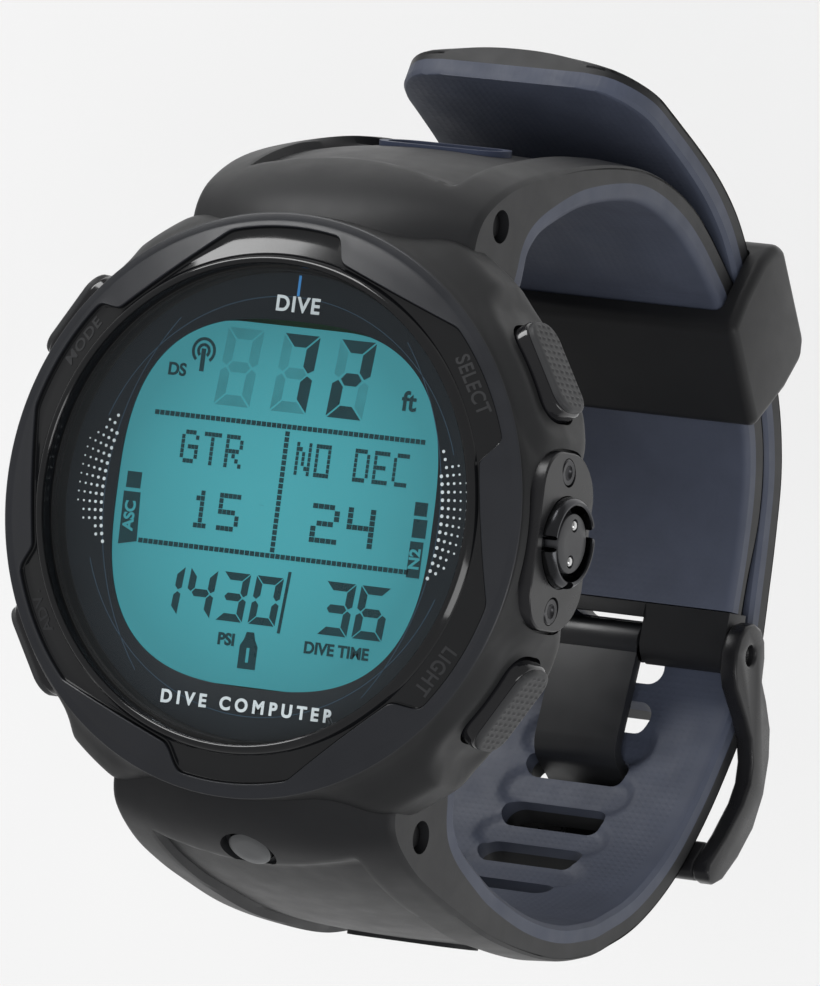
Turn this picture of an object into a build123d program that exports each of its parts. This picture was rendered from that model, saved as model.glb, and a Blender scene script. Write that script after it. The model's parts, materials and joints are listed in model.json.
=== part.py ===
from build123d import *
import math
import os

# A wrist dive computer on its buckled two-colour strap.
# Frame: millimetres. +Z is the dial's outward normal, +Y points to 12 o'clock and
# +X to 3 o'clock. The origin is the centre of the case's flat back, which rests on the wrist.

# --- driving dimensions -------------------------------------------------------------------
# case
BACK_RADIUS = 23.4
BARREL_RADIUS = 27.4
CASE_TOP = 15.6
CAVITY_RADIUS = 20.9
FLOOR_TOP = 2.4
SEAT_TOP = 13.9
SEAT_RADIUS = 22.3
SHOULDER_HALF = 14.9
CORNER_RADIUS = 29.3
# inside the case
BOARD_RADIUS = 19.2
BOARD_SPAN = (7.2, 8.2)
SENSOR_Y = 15.8
BUZZER_Y = -16.4
SWITCH_SIZE = (2.8, 4.2, 2.0)
# x, y, width, depth and height of each chip on the board
CHIPS = [(-6, 2, 7, 7, 0.85), (5, 3, 5, 6, 0.8), (0, -6, 6, 3.6, 0.7), (-13, -6, 3, 2.4, 0.8),
         (12, -4, 2.6, 3.4, 0.6)]
# dial stack
CRYSTAL_RADIUS = 21.8
CRYSTAL_TOP = 16.0
LCD_SIZE = (34.8, 33.2)
LCD_CORNER = 12.0
LCD_BASE = 12.4
WINDOW_SIZE = (33.6, 32.0)
WINDOW_CORNER = 11.5
# bezel
BEZEL_BORE = 21.97
BEZEL_EDGE = 26.0
BEZEL_RADIUS = 26.86
BEZEL_BASE = 15.7
BEZEL_RISE = 1.58
RIM_RADIUS = 22.5
RECESS_INNER = 22.85
TOOTH_LOW = 23.4
TOOTH_HIGH = 25.45
TOOTH_COUNT = 6
TOOTH_START = 15.0
RECESS_DEPTH = 0.5
INSERT_THICK = 0.32
# push buttons
BUTTON_AZIMUTHS = {"select": 32.2, "light": -32.2, "mode": 147.8, "advance": 212.2}
BUTTON_Z = 9.2
BUTTON_WIDTH = 9.6
BUTTON_HEIGHT = 5.4
BUTTON_FACE = 30.0
PAD_THICK = 0.7
PAD_INSET = 0.25
CAP_INNER = 27.2
POCKET_FLOOR = 26.0
POCKET_GAP = 0.35
STEM_RADIUS = 1.2
STEM_BORE = 1.25
SPRING_RADIUS = 1.75
SPRING_WIRE = 0.22
SPRING_SEAT = 23.3
STEM_END = 20.2
CLIP_RADIUS = 1.5
SEAL_RADIUS = 1.8
SEAL_SPAN = (22.0, 22.9)
GUARD_RADIUS = 28.6
GUARD_SIZE = (15.0, 8.8)
# data port on the 3 o'clock side
PORT_Z = 9.2
PORT_SURFACE = 28.1
PORT_POCKET_RADIUS = 26.6
PORT_PANEL_SIZE = (16.6, 10.2)
PORT_RING_RADIUS = 4.2
PORT_RING_BORE = 3.45
PORT_RING_FACE = 29.2
PORT_DISC_RADIUS = 2.75
PORT_DISC_FACE = 28.9
PORT_SCREW_Y = 6.33
# battery hatch in the back
HATCH_RADIUS = 12.9
HATCH_RING_RADIUS = 15.8
HATCH_THICK = 1.9
BATTERY_RADIUS = 12.25
BATTERY_THICK = 3.0
RING_GAP = 0.12
# strap
STRAP_HALF = 13.8
STRAP_END_HALF = 14.85
LINER_THICK = 1.7
SHORT_THICK = 3.5
LONG_THICK = 3.4
LAYER_GAP = 0.4
LUG_PIN = (28.17, 4.4)
LUG_PIN_RADIUS = 1.0
LUG_HALF = 10.4
LUG_GAP = 0.2
LUG_RECESS_RADIUS = 1.5
CHANNEL_DEPTH = 0.8
CHANNEL_HALF = 10.2
INLAY_SIZE = (13.4, 5.2)
INLAY_THICK = 0.7
INLAY_AT = {"short": 0.31, "long": 0.62}
TONGUE_SLOT_AT = 0.624
TIP_CORNER = 5.0
SLOT_SIZE = (11.0, 3.2)
SLOT_PITCH = 6.5
# keeper: it slides along a straight stretch of both straps
KEEPER_MID = (20.1, -47.8)
KEEPER_ANGLE = 39.0
KEEPER_STRAIGHT = 7.2
KEEPER_GAP = 0.25
KEEPER_SIDE = 2.0
# buckle
BUCKLE_PIN = (-7.0, -55.6)
BUCKLE_PIN_RADIUS = 0.9
BUCKLE_BORE = 0.95
BUCKLE_LOOP = [(-3.55, -54.0), (-3.55, -55.75), (-3.3, -55.75), (-3.3, -57.4), (-7.0, -57.6),
               (-7.0, -53.6)]
KNUCKLE_RADIUS = 2.0
FRAME_INNER_HALF = 14.1
FRAME_OUTER_HALF = 15.9
TONGUE_HALF = 4.4
TONGUE_THICK = 1.3

RUNNING_GAP = 0.05
NODES = {}


# --- helpers ------------------------------------------------------------------------------
def keep(name, shape):
    """Remember a finished node under the name of its STEP file."""
    NODES[name] = shape


def ring(inner, outer, low, high):
    """A flat ring about the Z axis, or a disc when inner is 0."""
    solid = Pos(0, 0, (low + high) / 2) * Cylinder(outer, high - low)
    if inner > 0:
        solid -= Pos(0, 0, (low + high) / 2) * Cylinder(inner, high - low + 1)
    return solid


def turned(profile):
    """A solid turned about Z from (radius, z) points."""
    face = make_face(Polyline([(r, 0, z) for r, z in profile], close=True))
    return revolve(face, Axis.Z)


def side_prism(points, half_width):
    """A prism across the strap from a (y, z) outline."""
    face = make_face(Polyline([(0, y, z) for y, z in points], close=True))
    return extrude(face, half_width, dir=(1, 0, 0), both=True)


def cross_rod(center, radius, half_width):
    """A round rod across the strap at a (y, z) centre."""
    y, z = center
    return Pos(0, y, z) * Rot(0, 90, 0) * Cylinder(radius, 2 * half_width)


def plate(size, corner, low, high):
    """A rounded rectangular plate in the dial plane."""
    sketch = RectangleRounded(size[0], size[1], corner)
    return Pos(0, 0, low) * extrude(sketch, high - low)


def radial(azimuth, z=BUTTON_Z):
    """A place on the axis of a side button: local X points outwards."""
    return Rot(0, 0, azimuth) * Pos(0, 0, z)


def radial_block(azimuth, near, far, width, height, corner, z=BUTTON_Z):
    """A rounded bar that points outwards, from radius near to radius far."""
    sketch = Plane.YZ.offset(near) * RectangleRounded(width, height, corner)
    return radial(azimuth, z) * extrude(sketch, far - near)


def radial_rod(azimuth, near, far, radius, z=BUTTON_Z):
    """A round rod that points outwards, from radius near to radius far."""
    rod = Rot(0, 90, 0) * Cylinder(radius, far - near)
    return radial(azimuth, z) * Pos((near + far) / 2, 0, 0) * rod


# --- case ---------------------------------------------------------------------------------
SHOULDER = [(12, 0), (12, 15.0), (25.6, 15.0), (28.0, 13.4), (30.4, 10.8), (32.2, 7.8), (33.4, 4.6), (30, 0)]
STRAP_SOCKET = [(23.2, -3), (23.2, 1.2), (24.3, 5.0), (25.7, 7.5), (28.6, 8.5), (33.9, 6.4), (36, 0), (30, -3)]


def mirrored(points):
    """The same outline on the 6 o'clock side."""
    return [(-y, z) for y, z in points]


def make_case():
    barrel = turned([(0, 0), (BACK_RADIUS, 0), (26.4, 3.4), (BARREL_RADIUS, 7.5), (BARREL_RADIUS, 12.5),
                     (BEZEL_RADIUS, CASE_TOP), (0, CASE_TOP)])
    body = barrel
    for outline in (SHOULDER, mirrored(SHOULDER)):
        shoulder = side_prism(outline, SHOULDER_HALF)
        long_edges = shoulder.edges().filter_by(lambda e: e.center().Z > 3 and abs(e.center().Y) > 26)
        long_edges = long_edges.filter_by(lambda e: abs(abs(e.center().X) - SHOULDER_HALF) < 0.01)
        body += chamfer(long_edges, 2.2)
    # the barrel swells out between each shoulder and the nearest button
    corners = turned([(0, 1.0), (26.0, 1.0), (CORNER_RADIUS, 5.0), (CORNER_RADIUS, 10.5), (27.0, 14.6),
                      (0, 14.6)])
    for side_x in (1, -1):
        for side_y in (1, -1):
            body += corners & Pos(side_x * (SHOULDER_HALF + 6), side_y * 18.0, 8) * Box(12, 12, 16)
    for azimuth in BUTTON_AZIMUTHS.values():
        guard = radial_block(azimuth, 18, GUARD_RADIUS, *GUARD_SIZE, 3.0, z=BUTTON_Z - 0.4)
        outer_rim = guard.faces().sort_by(lambda f: f.center().length)[-1].edges()
        body += fillet(outer_rim, 1.4)
    body += radial_block(0, 20, 27.9, 19.0, 12.0, 4.5, z=9.4)
    body -= ring(0, CAVITY_RADIUS, FLOOR_TOP, CASE_TOP + 1)
    body -= ring(0, SEAT_RADIUS, SEAT_TOP, CASE_TOP + 1)
    body -= ring(0, HATCH_RING_RADIUS + RING_GAP, -1, HATCH_THICK)
    body -= ring(0, HATCH_RADIUS, -1, FLOOR_TOP + 1)
    for outline in (STRAP_SOCKET, mirrored(STRAP_SOCKET)):
        body -= side_prism(outline, 18)
    for side in (1, -1):
        lug = side_prism([(side * y, z) for y, z in LUG_OUTLINE], LUG_HALF)
        body += lug - cross_rod((side * LUG_PIN[0], LUG_PIN[1]), LUG_PIN_RADIUS, 20)
    for azimuth in BUTTON_AZIMUTHS.values():
        width = BUTTON_WIDTH + 2 * POCKET_GAP
        height = BUTTON_HEIGHT + 2 * POCKET_GAP
        body -= radial_block(azimuth, POCKET_FLOOR, 33, width, height, 2.4)
        body -= radial_rod(azimuth, SPRING_SEAT, 33, SPRING_RADIUS + 0.4)
        body -= radial_rod(azimuth, 18, SPRING_SEAT + 1, STEM_BORE)
    body -= ring(PORT_POCKET_RADIUS, 34, 0, 20) & port_prism(20, 33, 0.0)
    body -= contact_rod(-1.9, 3, 2.25)
    body -= contact_rod(-0.5, 3, 3.0)
    body -= Rot(0, 0, 180) * Pos(26.4, 0, 9.0) * Box(4, 9.0, 4.0)
    keep("case_body", body)


LUG_OUTLINE = [(21.0, 2.4), (21.0, 7.5), (28.0, 8.6), (31.2, 6.2), (31.4, 2.6), (28.8, 0.4), (23.0, 1.2)]


def port_prism(near, far, shrink):
    """The outline of the data port's panel, pushed out through the 3 o'clock side."""
    width, height = PORT_PANEL_SIZE
    return radial_block(0, near, far, width - 2 * shrink, height - 2 * shrink, 4.2 - shrink, z=PORT_Z + 0.1)


CONTACT_PLACE = Pos(0, -31.3, 9.3) * Rot(60, 0, 0)


def contact_rod(low, high, radius):
    """A rod on the water contact's axis, which leans out of the 6 o'clock shoulder."""
    return CONTACT_PLACE * Pos(0, 0, (low + high) / 2) * Cylinder(radius, high - low)


# --- bezel and dial -----------------------------------------------------------------------
def bezel_shell(low, high):
    """The layer between two depths under the conical bezel face."""
    slope = BEZEL_RISE / (BEZEL_EDGE - RIM_RADIUS)
    inner, outer = 22.0, 26.5
    heights = [16.0 + (BEZEL_EDGE - radius) * slope for radius in (inner, outer)]
    return turned([(inner, heights[0] - low), (outer, heights[1] - low), (outer, heights[1] - high),
                   (inner, heights[0] - high)])


def tooth_outline():
    """The saw-tooth edge of the gloss recess: ramps of half a pitch and arcs of half a pitch."""
    edges = []
    pitch = 360 / TOOTH_COUNT
    for tooth in range(TOOTH_COUNT):
        start = 90 - (TOOTH_START + tooth * pitch)
        low = PolarLine((0, 0), TOOTH_LOW, start) @ 1
        high = PolarLine((0, 0), TOOTH_HIGH, start - pitch / 2) @ 1
        stop = PolarLine((0, 0), TOOTH_HIGH, start - pitch + 2) @ 1
        after = PolarLine((0, 0), TOOTH_LOW, start - pitch) @ 1
        middle = PolarLine((0, 0), TOOTH_HIGH, start - 0.75 * pitch + 1) @ 1
        edges += [Line(low, high), ThreePointArc(high, middle, stop), Line(stop, after)]
    return make_face(edges)


def make_bezel():
    ring_body = turned([(BEZEL_BORE, BEZEL_BASE), (BEZEL_BORE, 17.3), (22.2, 17.58), (RIM_RADIUS, 17.58),
                        (BEZEL_EDGE, 16.0), (BEZEL_RADIUS, 15.75), (BEZEL_RADIUS, BEZEL_BASE)])
    recess = Pos(0, 0, 14) * extrude(tooth_outline() - Circle(RECESS_INNER), 6)
    keep("bezel_ring", ring_body - (recess & bezel_shell(RECESS_DEPTH, -2)))
    keep("bezel_insert", recess & bezel_shell(RECESS_DEPTH, RECESS_DEPTH - INSERT_THICK))


def make_dial():
    keep("crystal", chamfer(ring(0, CRYSTAL_RADIUS, SEAT_TOP, CRYSTAL_TOP).edges().sort_by(Axis.Z)[-1], 0.2))
    keep("crystal_gasket", ring(CRYSTAL_RADIUS, SEAT_RADIUS, SEAT_TOP, CASE_TOP))
    mask = ring(0, CAVITY_RADIUS - 0.1, 13.6, 13.85) - plate(WINDOW_SIZE, WINDOW_CORNER, 13, 14.5)
    keep("dial_mask", mask)
    keep("lcd_panel", plate(LCD_SIZE, LCD_CORNER, LCD_BASE, 13.6))
    keep("light_guide", plate((29.5, 27.5), 10, 11.3, 12.3))
    height = LCD_BASE - BOARD_SPAN[1]
    connectors = [Pos(0, side * 15.1, LCD_BASE - height / 2) * Box(16, 1.4, height) for side in (1, -1)]
    keep("lcd_connectors", Compound(connectors))


def make_electronics():
    base, top = BOARD_SPAN
    keep("circuit_board", ring(0, BOARD_RADIUS, base, top))
    frame_body = ring(BATTERY_RADIUS + 0.35, CAVITY_RADIUS - 0.3, FLOOR_TOP, base)
    frame_body += ring(0, BATTERY_RADIUS + 0.5, 6.3, base)
    frame_body -= Pos(0, SENSOR_Y, 6) * Cylinder(2.2, 8)
    frame_body -= Pos(0, BUZZER_Y, base) * Cylinder(3.4, 4.0)
    keep("inner_frame", frame_body)
    keep("battery", Pos(0, 0, HATCH_THICK + 0.6 + BATTERY_THICK / 2) * Cylinder(BATTERY_RADIUS, BATTERY_THICK))
    leaf = Pos(0, 0, 6.15) * Box(16, 3.2, 0.25) + Pos(0, 0, 5.78) * Cylinder(2.5, 0.52)
    keep("battery_contact", leaf)
    keep("buzzer", Pos(0, BUZZER_Y, base - 0.7) * Cylinder(3.2, 1.4))
    sensor = Pos(0, SENSOR_Y, base - 2.3) * Cylinder(2.0, 4.0)
    keep("pressure_sensor", sensor + Pos(0, SENSOR_Y, base - 0.15) * Cylinder(1.2, 0.3))
    keep("board_chips", Compound([Pos(x, y, top + h / 2) * Box(w, d, h) for x, y, w, d, h in CHIPS]))
    length, width, height = SWITCH_SIZE
    place = Pos(BOARD_RADIUS + 0.1 - length / 2, 0, 0)
    switches = []
    for azimuth in BUTTON_AZIMUTHS.values():
        switches.append(radial(azimuth, top + height / 2) * place * Box(length, width, height))
    keep("tact_switches", Compound(switches))


# --- buttons ------------------------------------------------------------------------------
def spring_coil(azimuth):
    """The return spring round a button's stem, from its seat in the case to the cap."""
    height = CAP_INNER - SPRING_SEAT - 2 * SPRING_WIRE - 0.1
    path = Helix(pitch=height / 3.5, height=height, radius=SPRING_RADIUS)
    section = Plane(origin=path @ 0, z_dir=path % 0) * Circle(SPRING_WIRE)
    coil = sweep(section, path, is_frenet=True)
    return radial(azimuth) * Pos(SPRING_SEAT + SPRING_WIRE + 0.05, 0, 0) * Rot(0, 90, 0) * coil


def make_buttons():
    seals = []
    for name, azimuth in BUTTON_AZIMUTHS.items():
        cap = radial_block(azimuth, CAP_INNER, BUTTON_FACE - PAD_THICK, BUTTON_WIDTH, BUTTON_HEIGHT, 2.2)
        pad_size = (BUTTON_WIDTH - 2 * PAD_INSET, BUTTON_HEIGHT - 2 * PAD_INSET)
        pad = radial_block(azimuth, BUTTON_FACE - PAD_THICK, BUTTON_FACE, *pad_size, 2.0)
        stem = radial_rod(azimuth, STEM_END, CAP_INNER, STEM_RADIUS)
        stem += radial_rod(azimuth, STEM_END + 0.1, STEM_END + 0.55, CLIP_RADIUS)
        keep(name + "_cap", cap)
        keep(name + "_pad", pad)
        keep(name + "_stem", stem)
        keep(name + "_spring", spring_coil(azimuth))
        seals.append(radial_rod(azimuth, *SEAL_SPAN, SEAL_RADIUS) - radial_rod(azimuth, 20, 25, STEM_BORE))
    NODES["case_body"] -= seals
    keep("button_seals", Compound(seals))


# --- data port, water contact, sensor grille ----------------------------------------------
def make_port():
    curved = ring(PORT_POCKET_RADIUS, PORT_SURFACE, 0, 20)
    panel = curved & port_prism(20, 33, 0.12)
    panel -= radial_rod(0, 20, 33, PORT_RING_RADIUS, z=PORT_Z)
    for side in (1, -1):
        panel -= Pos(0, side * PORT_SCREW_Y, 0.3) * radial_rod(0, 26.9, 33, 1.35, z=PORT_Z)
    keep("port_panel", panel)
    collar = radial_rod(0, 26.6, PORT_RING_FACE, PORT_RING_RADIUS, z=PORT_Z)
    collar -= radial_rod(0, 27.3, 33, PORT_RING_BORE, z=PORT_Z)
    for turn in (90, 210, 330):
        notch = Pos(0, 0, 4.1) * Box(2.2, 2.6, 1.0)
        collar -= Pos(PORT_RING_FACE, 0, PORT_Z) * Rot(turn, 0, 0) * notch
    keep("port_ring", collar)
    disc = radial_rod(0, 27.3, PORT_DISC_FACE, PORT_DISC_RADIUS, z=PORT_Z)
    pins = []
    for side in (1, -1):
        pins.append(Pos(0, side * 1.65, 0) * radial_rod(0, 27.6, PORT_DISC_FACE + 0.15, 0.55, z=PORT_Z))
    keep("port_disc", disc - pins)
    keep("port_pins", Compound(pins))
    screws = []
    for side in (1, -1):
        head = radial_rod(0, 26.9, 27.5, 1.3, z=PORT_Z) - Pos(27.6, 0, PORT_Z) * Box(0.7, 3, 0.35)
        screws.append(Pos(0, side * PORT_SCREW_Y, 0.3) * head)
    keep("port_screws", Compound(screws))


def make_contact_and_grille():
    keep("water_contact", contact_rod(-1.85, 0.15, 2.15))
    grille = Rot(0, 0, 180) * Pos(25.75, 0, 9.0) * Box(2.4, 8.8, 3.8)
    for place in (-2.6, 0, 2.6):
        grille -= Pos(0, place, 9.0) * Rot(0, 90, 0) * Cylinder(0.55, 80)
    keep("sensor_grille", grille)


# --- battery hatch ------------------------------------------------------------------------
def make_hatch():
    keep("battery_hatch", ring(0, HATCH_RADIUS - RING_GAP, 0, HATCH_THICK + 0.4))
    groove = ring(HATCH_RADIUS - 0.9, HATCH_RADIUS + 1, 1.2, 2.0)
    NODES["battery_hatch"] -= groove
    keep("hatch_seal", ring(HATCH_RADIUS - 0.88, HATCH_RADIUS - RING_GAP, 1.25, 1.95))
    lock = ring(HATCH_RADIUS, HATCH_RING_RADIUS, 0.25, HATCH_THICK - 0.1)
    for turn in range(0, 360, 60):
        lock -= Rot(0, 0, turn) * Pos((HATCH_RADIUS + HATCH_RING_RADIUS) / 2, 0, 0.25) * Cylinder(0.8, 1.4)
    keep("hatch_ring", lock)


# --- strap --------------------------------------------------------------------------------
KEEPER_DIR = (math.cos(math.radians(KEEPER_ANGLE)), math.sin(math.radians(KEEPER_ANGLE)))
KEEPER_OUT = (KEEPER_DIR[1], -KEEPER_DIR[0])


def keeper_point(along, out):
    """A (y, z) point by its distances along the straight stretch and outwards from it."""
    y = KEEPER_MID[0] + along * KEEPER_DIR[0] + out * KEEPER_OUT[0]
    z = KEEPER_MID[1] + along * KEEPER_DIR[1] + out * KEEPER_OUT[1]
    return (y, z)


def unit(start, end):
    """The direction from one (y, z) point to another."""
    length = math.hypot(end[0] - start[0], end[1] - start[1])
    return ((end[0] - start[0]) / length, (end[1] - start[1]) / length)


def spline(points, start=None, end=None):
    """A smooth line in the side plane, with optional directions at its ends."""
    first = start or unit(points[0], points[1])
    last = end or unit(points[-2], points[-1])
    return Spline([(0, y, z) for y, z in points], tangents=[(0, *first), (0, *last)], tangent_scalars=(1, 1))


UP = KEEPER_DIR
DOWN = (-KEEPER_DIR[0], -KEEPER_DIR[1])
LONG_OUT = SHORT_THICK + LAYER_GAP
# inner faces of both straps, from the lug to the free end
SHORT_UPPER = [(23.5, -1.8), (26.2, -1.8), (29.0, -5.0), (31.4, -11.0), (32.8, -17.0), (33.3, -23.0),
               (32.5, -29.6), (30.0, -36.4), keeper_point(KEEPER_STRAIGHT, 0)]
SHORT_LOWER = [keeper_point(-KEEPER_STRAIGHT, 0), (9.4, -54.1), (3.0, -54.4), (-3.4, -54.0)]
LONG_LOWER = [(-23.5, -1.8), (-26.2, -1.8), (-29.2, -5.0), (-32.3, -12.5), (-34.1, -20.0), (-34.7, -27.5),
              (-33.9, -34.5), (-31.3, -41.3), (-27.1, -47.2), (-22.0, -51.6), (-17.0, -54.9), (-12.2, -57.4),
              (-6.6, -58.5), (-0.5, -58.6), (5.0, -58.5), (10.9, -57.9),
              keeper_point(-KEEPER_STRAIGHT, LONG_OUT)]
LONG_TAIL = [keeper_point(KEEPER_STRAIGHT, LONG_OUT), (31.8, -42.7), (34.6, -38.6), (37.2, -33.8),
             (39.6, -28.6), (41.8, -23.6), (43.2, -20.6)]
# outer faces near the lug, where the straps thicken to meet the case
SHORT_OUTER = [(33.1, 6.2), (34.2, 0.0), (35.4, -6.0), (36.3, -12.0), (36.9, -20.0), (36.6, -26.5),
               (34.8, -33.4), keeper_point(KEEPER_STRAIGHT, SHORT_THICK)]
LONG_OUTER = [(-33.1, 6.2), (-34.8, 0.0), (-36.2, -6.0), (-37.2, -12.3), (-38.2, -22.0), (-38.0, -28.7),
              (-36.9, -35.2)]
LUG_END = [(23.6, 1.0), (24.7, 4.8), (26.0, 7.2), (28.6, 8.2)]
HOLLOW = [(20.0, -0.6), (20.0, 8.9), (28.2, 9.2), (31.7, 6.6), (31.9, 2.3), (29.0, -0.3), (24.0, -0.3)]


def shifted(edge, distance, turn):
    """The edge moved sideways in the side plane; turn is the side, +1 or -1."""
    count = 1 if edge.geom_type == GeomType.LINE else max(8, int(edge.length / 2.5))
    places = []
    for station in range(count + 1):
        place, tangent = edge @ (station / count), edge % (station / count)
        places.append(place + Vector(0, turn * tangent.Z, -turn * tangent.Y) * distance)
    return Line(*places) if count == 1 else Spline(places)


def across(edges, half_width):
    """A solid across the strap from a closed outline in the side plane."""
    return extrude(make_face(edges), half_width, dir=(1, 0, 0), both=True)


def band(edges, near, far, turn, half_width):
    """A strap layer: the space between two distances outwards from a chain of edges."""
    inner = [shifted(edge, near, turn) for edge in edges]
    outer = [shifted(edge, far, turn) for edge in edges]
    first = Line(inner[0] @ 0, outer[0] @ 0)
    last = Line(inner[-1] @ 1, outer[-1] @ 1)
    return across([*inner, last, *outer, first], half_width)


def lug_layer(boundary, outer, side):
    """The black layer from the case to where the strap is of even thickness."""
    end = [(0, side * y, z) for y, z in LUG_END]
    last = Line(boundary @ 1, outer @ 1)
    closing = Polyline([boundary @ 0, *end, outer @ 0])
    layer = across([boundary, last, outer, *closing.edges()], STRAP_END_HALF)
    hollow = side_prism([(side * y, z) for y, z in HOLLOW], LUG_HALF + LUG_GAP)
    layer -= hollow
    layer -= cross_rod((side * LUG_PIN[0], LUG_PIN[1]), LUG_PIN_RADIUS + RUNNING_GAP, 20)
    for edge_side in (1, -1):
        recess = cross_rod((side * LUG_PIN[0], LUG_PIN[1]), LUG_RECESS_RADIUS, 0.6)
        layer -= Pos(edge_side * STRAP_END_HALF, 0, 0) * recess
    return layer & TAPER


def make_taper():
    """The straps' front outline: wider at the case than at the buckle."""
    half = [(STRAP_END_HALF, 12), (STRAP_END_HALF, -2), (14.3, -20), (STRAP_HALF, -38), (STRAP_HALF, -66)]
    points = half + [(-x, z) for x, z in reversed(half)]
    face = make_face(Polyline([(x, 0, z) for x, z in points], close=True))
    return extrude(face, 60, dir=(0, 1, 0), both=True)


TAPER = make_taper()


def strap_slots(edge, first, count, at):
    """Buckle slots at an even pitch along an edge, first to first + count steps from a known slot."""
    cutters = []
    for step in range(first, first + count):
        t = at + step * SLOT_PITCH / edge.length
        place, tangent = edge @ t, edge % t
        plane = Plane(origin=place, x_dir=(1, 0, 0), z_dir=(0, tangent.Z, -tangent.Y))
        cutters.append(extrude(plane * SlotOverall(*SLOT_SIZE), 6, both=True))
    return cutters


def inlay(outer_edge, at, turn):
    """The oval ring set in the channel of a strap's outer face."""
    place, tangent = outer_edge @ at, outer_edge % at
    outward = Vector(0, turn * tangent.Z, -turn * tangent.Y)
    middle = place - outward * (CHANNEL_DEPTH - INLAY_THICK / 2)
    plane = Plane(origin=middle, x_dir=(1, 0, 0), z_dir=outward)
    sketch = SlotOverall(*INLAY_SIZE) - SlotOverall(INLAY_SIZE[0] - 1.6, INLAY_SIZE[1] - 1.6)
    return extrude(plane * sketch, INLAY_THICK / 2, both=True)


def tip_trim(tail):
    """The two rounded corners cut off a strap's free end."""
    end, tangent = tail @ 1, tail % 1
    plane = Plane(origin=end, x_dir=(1, 0, 0), z_dir=(0, -tangent.Z, tangent.Y))
    rounded = Pos(0, -2 * TIP_CORNER) * RectangleRounded(2 * STRAP_HALF, 4 * TIP_CORNER, TIP_CORNER)
    return extrude(plane * (Rectangle(40, 2 * TIP_CORNER) - rounded), 8, both=True)


def make_straps():
    short_top = spline(SHORT_UPPER, end=DOWN)
    short_rest = [Line((0, *SHORT_UPPER[-1]), (0, *SHORT_LOWER[0])), spline(SHORT_LOWER, start=DOWN)]
    long_top = spline(LONG_LOWER, end=UP)
    long_rest = [Line((0, *LONG_LOWER[-1]), (0, *LONG_TAIL[0])), spline(LONG_TAIL, start=UP)]

    # short strap, 12 o'clock side
    short_outer = spline(SHORT_OUTER, end=DOWN)
    black = lug_layer(shifted(short_top, LINER_THICK, -1), short_outer, 1)
    black -= band([short_outer], -CHANNEL_DEPTH, 2, -1, CHANNEL_HALF)
    black += band(short_rest, LINER_THICK, SHORT_THICK, -1, STRAP_HALF)
    loop = side_prism(BUCKLE_LOOP, STRAP_HALF)
    black += loop + cross_rod(BUCKLE_PIN, KNUCKLE_RADIUS, STRAP_HALF)
    black -= cross_rod(BUCKLE_PIN, BUCKLE_PIN_RADIUS + 0.02, 20)
    black -= Pos(0, BUCKLE_PIN[0] - 1.6, BUCKLE_PIN[1]) * Box(2 * TONGUE_HALF + 0.6, 8.4, 9)
    keep("strap_short_outer", black)
    keep("strap_short_liner", (band([short_top], 0, LINER_THICK, -1, STRAP_END_HALF) & TAPER)
         + band(short_rest, 0, LINER_THICK, -1, STRAP_HALF))

    # long strap, 6 o'clock side, with its slots
    even_from = 0.45
    upper, lower = long_top.trim(0, even_from), long_top.trim(even_from, 1)
    boundary = shifted(upper, LINER_THICK, 1)
    outer_end = shifted(upper, LONG_THICK, 1) @ 1
    long_outer = spline(LONG_OUTER + [(outer_end.Y, outer_end.Z)])
    black = lug_layer(boundary, long_outer, -1)
    black -= band([long_outer], -CHANNEL_DEPTH, 2, 1, CHANNEL_HALF)
    black += band([lower, *long_rest], LINER_THICK, LONG_THICK, 1, STRAP_HALF)
    liner = (band([upper], 0, LINER_THICK, 1, STRAP_END_HALF) & TAPER)
    liner += band([lower, *long_rest], 0, LINER_THICK, 1, STRAP_HALF)
    slots = strap_slots(long_top, -3, 8, TONGUE_SLOT_AT) + strap_slots(long_rest[1], 1, 3, 0.05)
    tip = tip_trim(long_rest[1])
    keep("strap_long_outer", black - slots - tip - contact_rod(-2.2, 3, 2.4))
    keep("strap_long_liner", liner - slots - tip)

    for name, edge, turn, side in (("short", short_outer, -1, 1), ("long", long_outer, 1, -1)):
        keep(f"strap_inlay_{name}", inlay(edge, INLAY_AT[name], turn))
        rod = cross_rod((side * LUG_PIN[0], LUG_PIN[1]), LUG_PIN_RADIUS, STRAP_END_HALF - 0.7)
        keep(f"lug_pin_{name}", rod)


# --- keeper -------------------------------------------------------------------------------
# side view as (along, out) points: the outer wall is thicker and reaches further up the strap
KEEPER_SIDE_VIEW = [(-5.8, -1.95), (5.8, -1.95), (7.2, 1.5), (8.4, 6.0), (8.2, 9.2), (6.6, 10.4),
                    (-3.6, 10.4), (-5.0, 9.2), (-5.8, 5.0)]


def make_keeper():
    high = LONG_OUT + LONG_THICK + KEEPER_GAP
    inner_half = STRAP_HALF + KEEPER_GAP
    outer_half = inner_half + KEEPER_SIDE
    block = side_prism([keeper_point(*point) for point in KEEPER_SIDE_VIEW], outer_half)
    lengthwise = block.edges().filter_by(lambda e: abs(abs(e.center().X) - outer_half) < 0.01)
    block = chamfer(lengthwise, 0.6)
    plane = Plane(origin=(0, *KEEPER_MID), x_dir=(1, 0, 0), z_dir=(0, *KEEPER_DIR))
    passage = Pos(0, (high - KEEPER_GAP) / 2) * RectangleRounded(2 * inner_half, high + KEEPER_GAP, 0.6)
    keep("keeper", block - extrude(plane * passage, 12, both=True))


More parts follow.
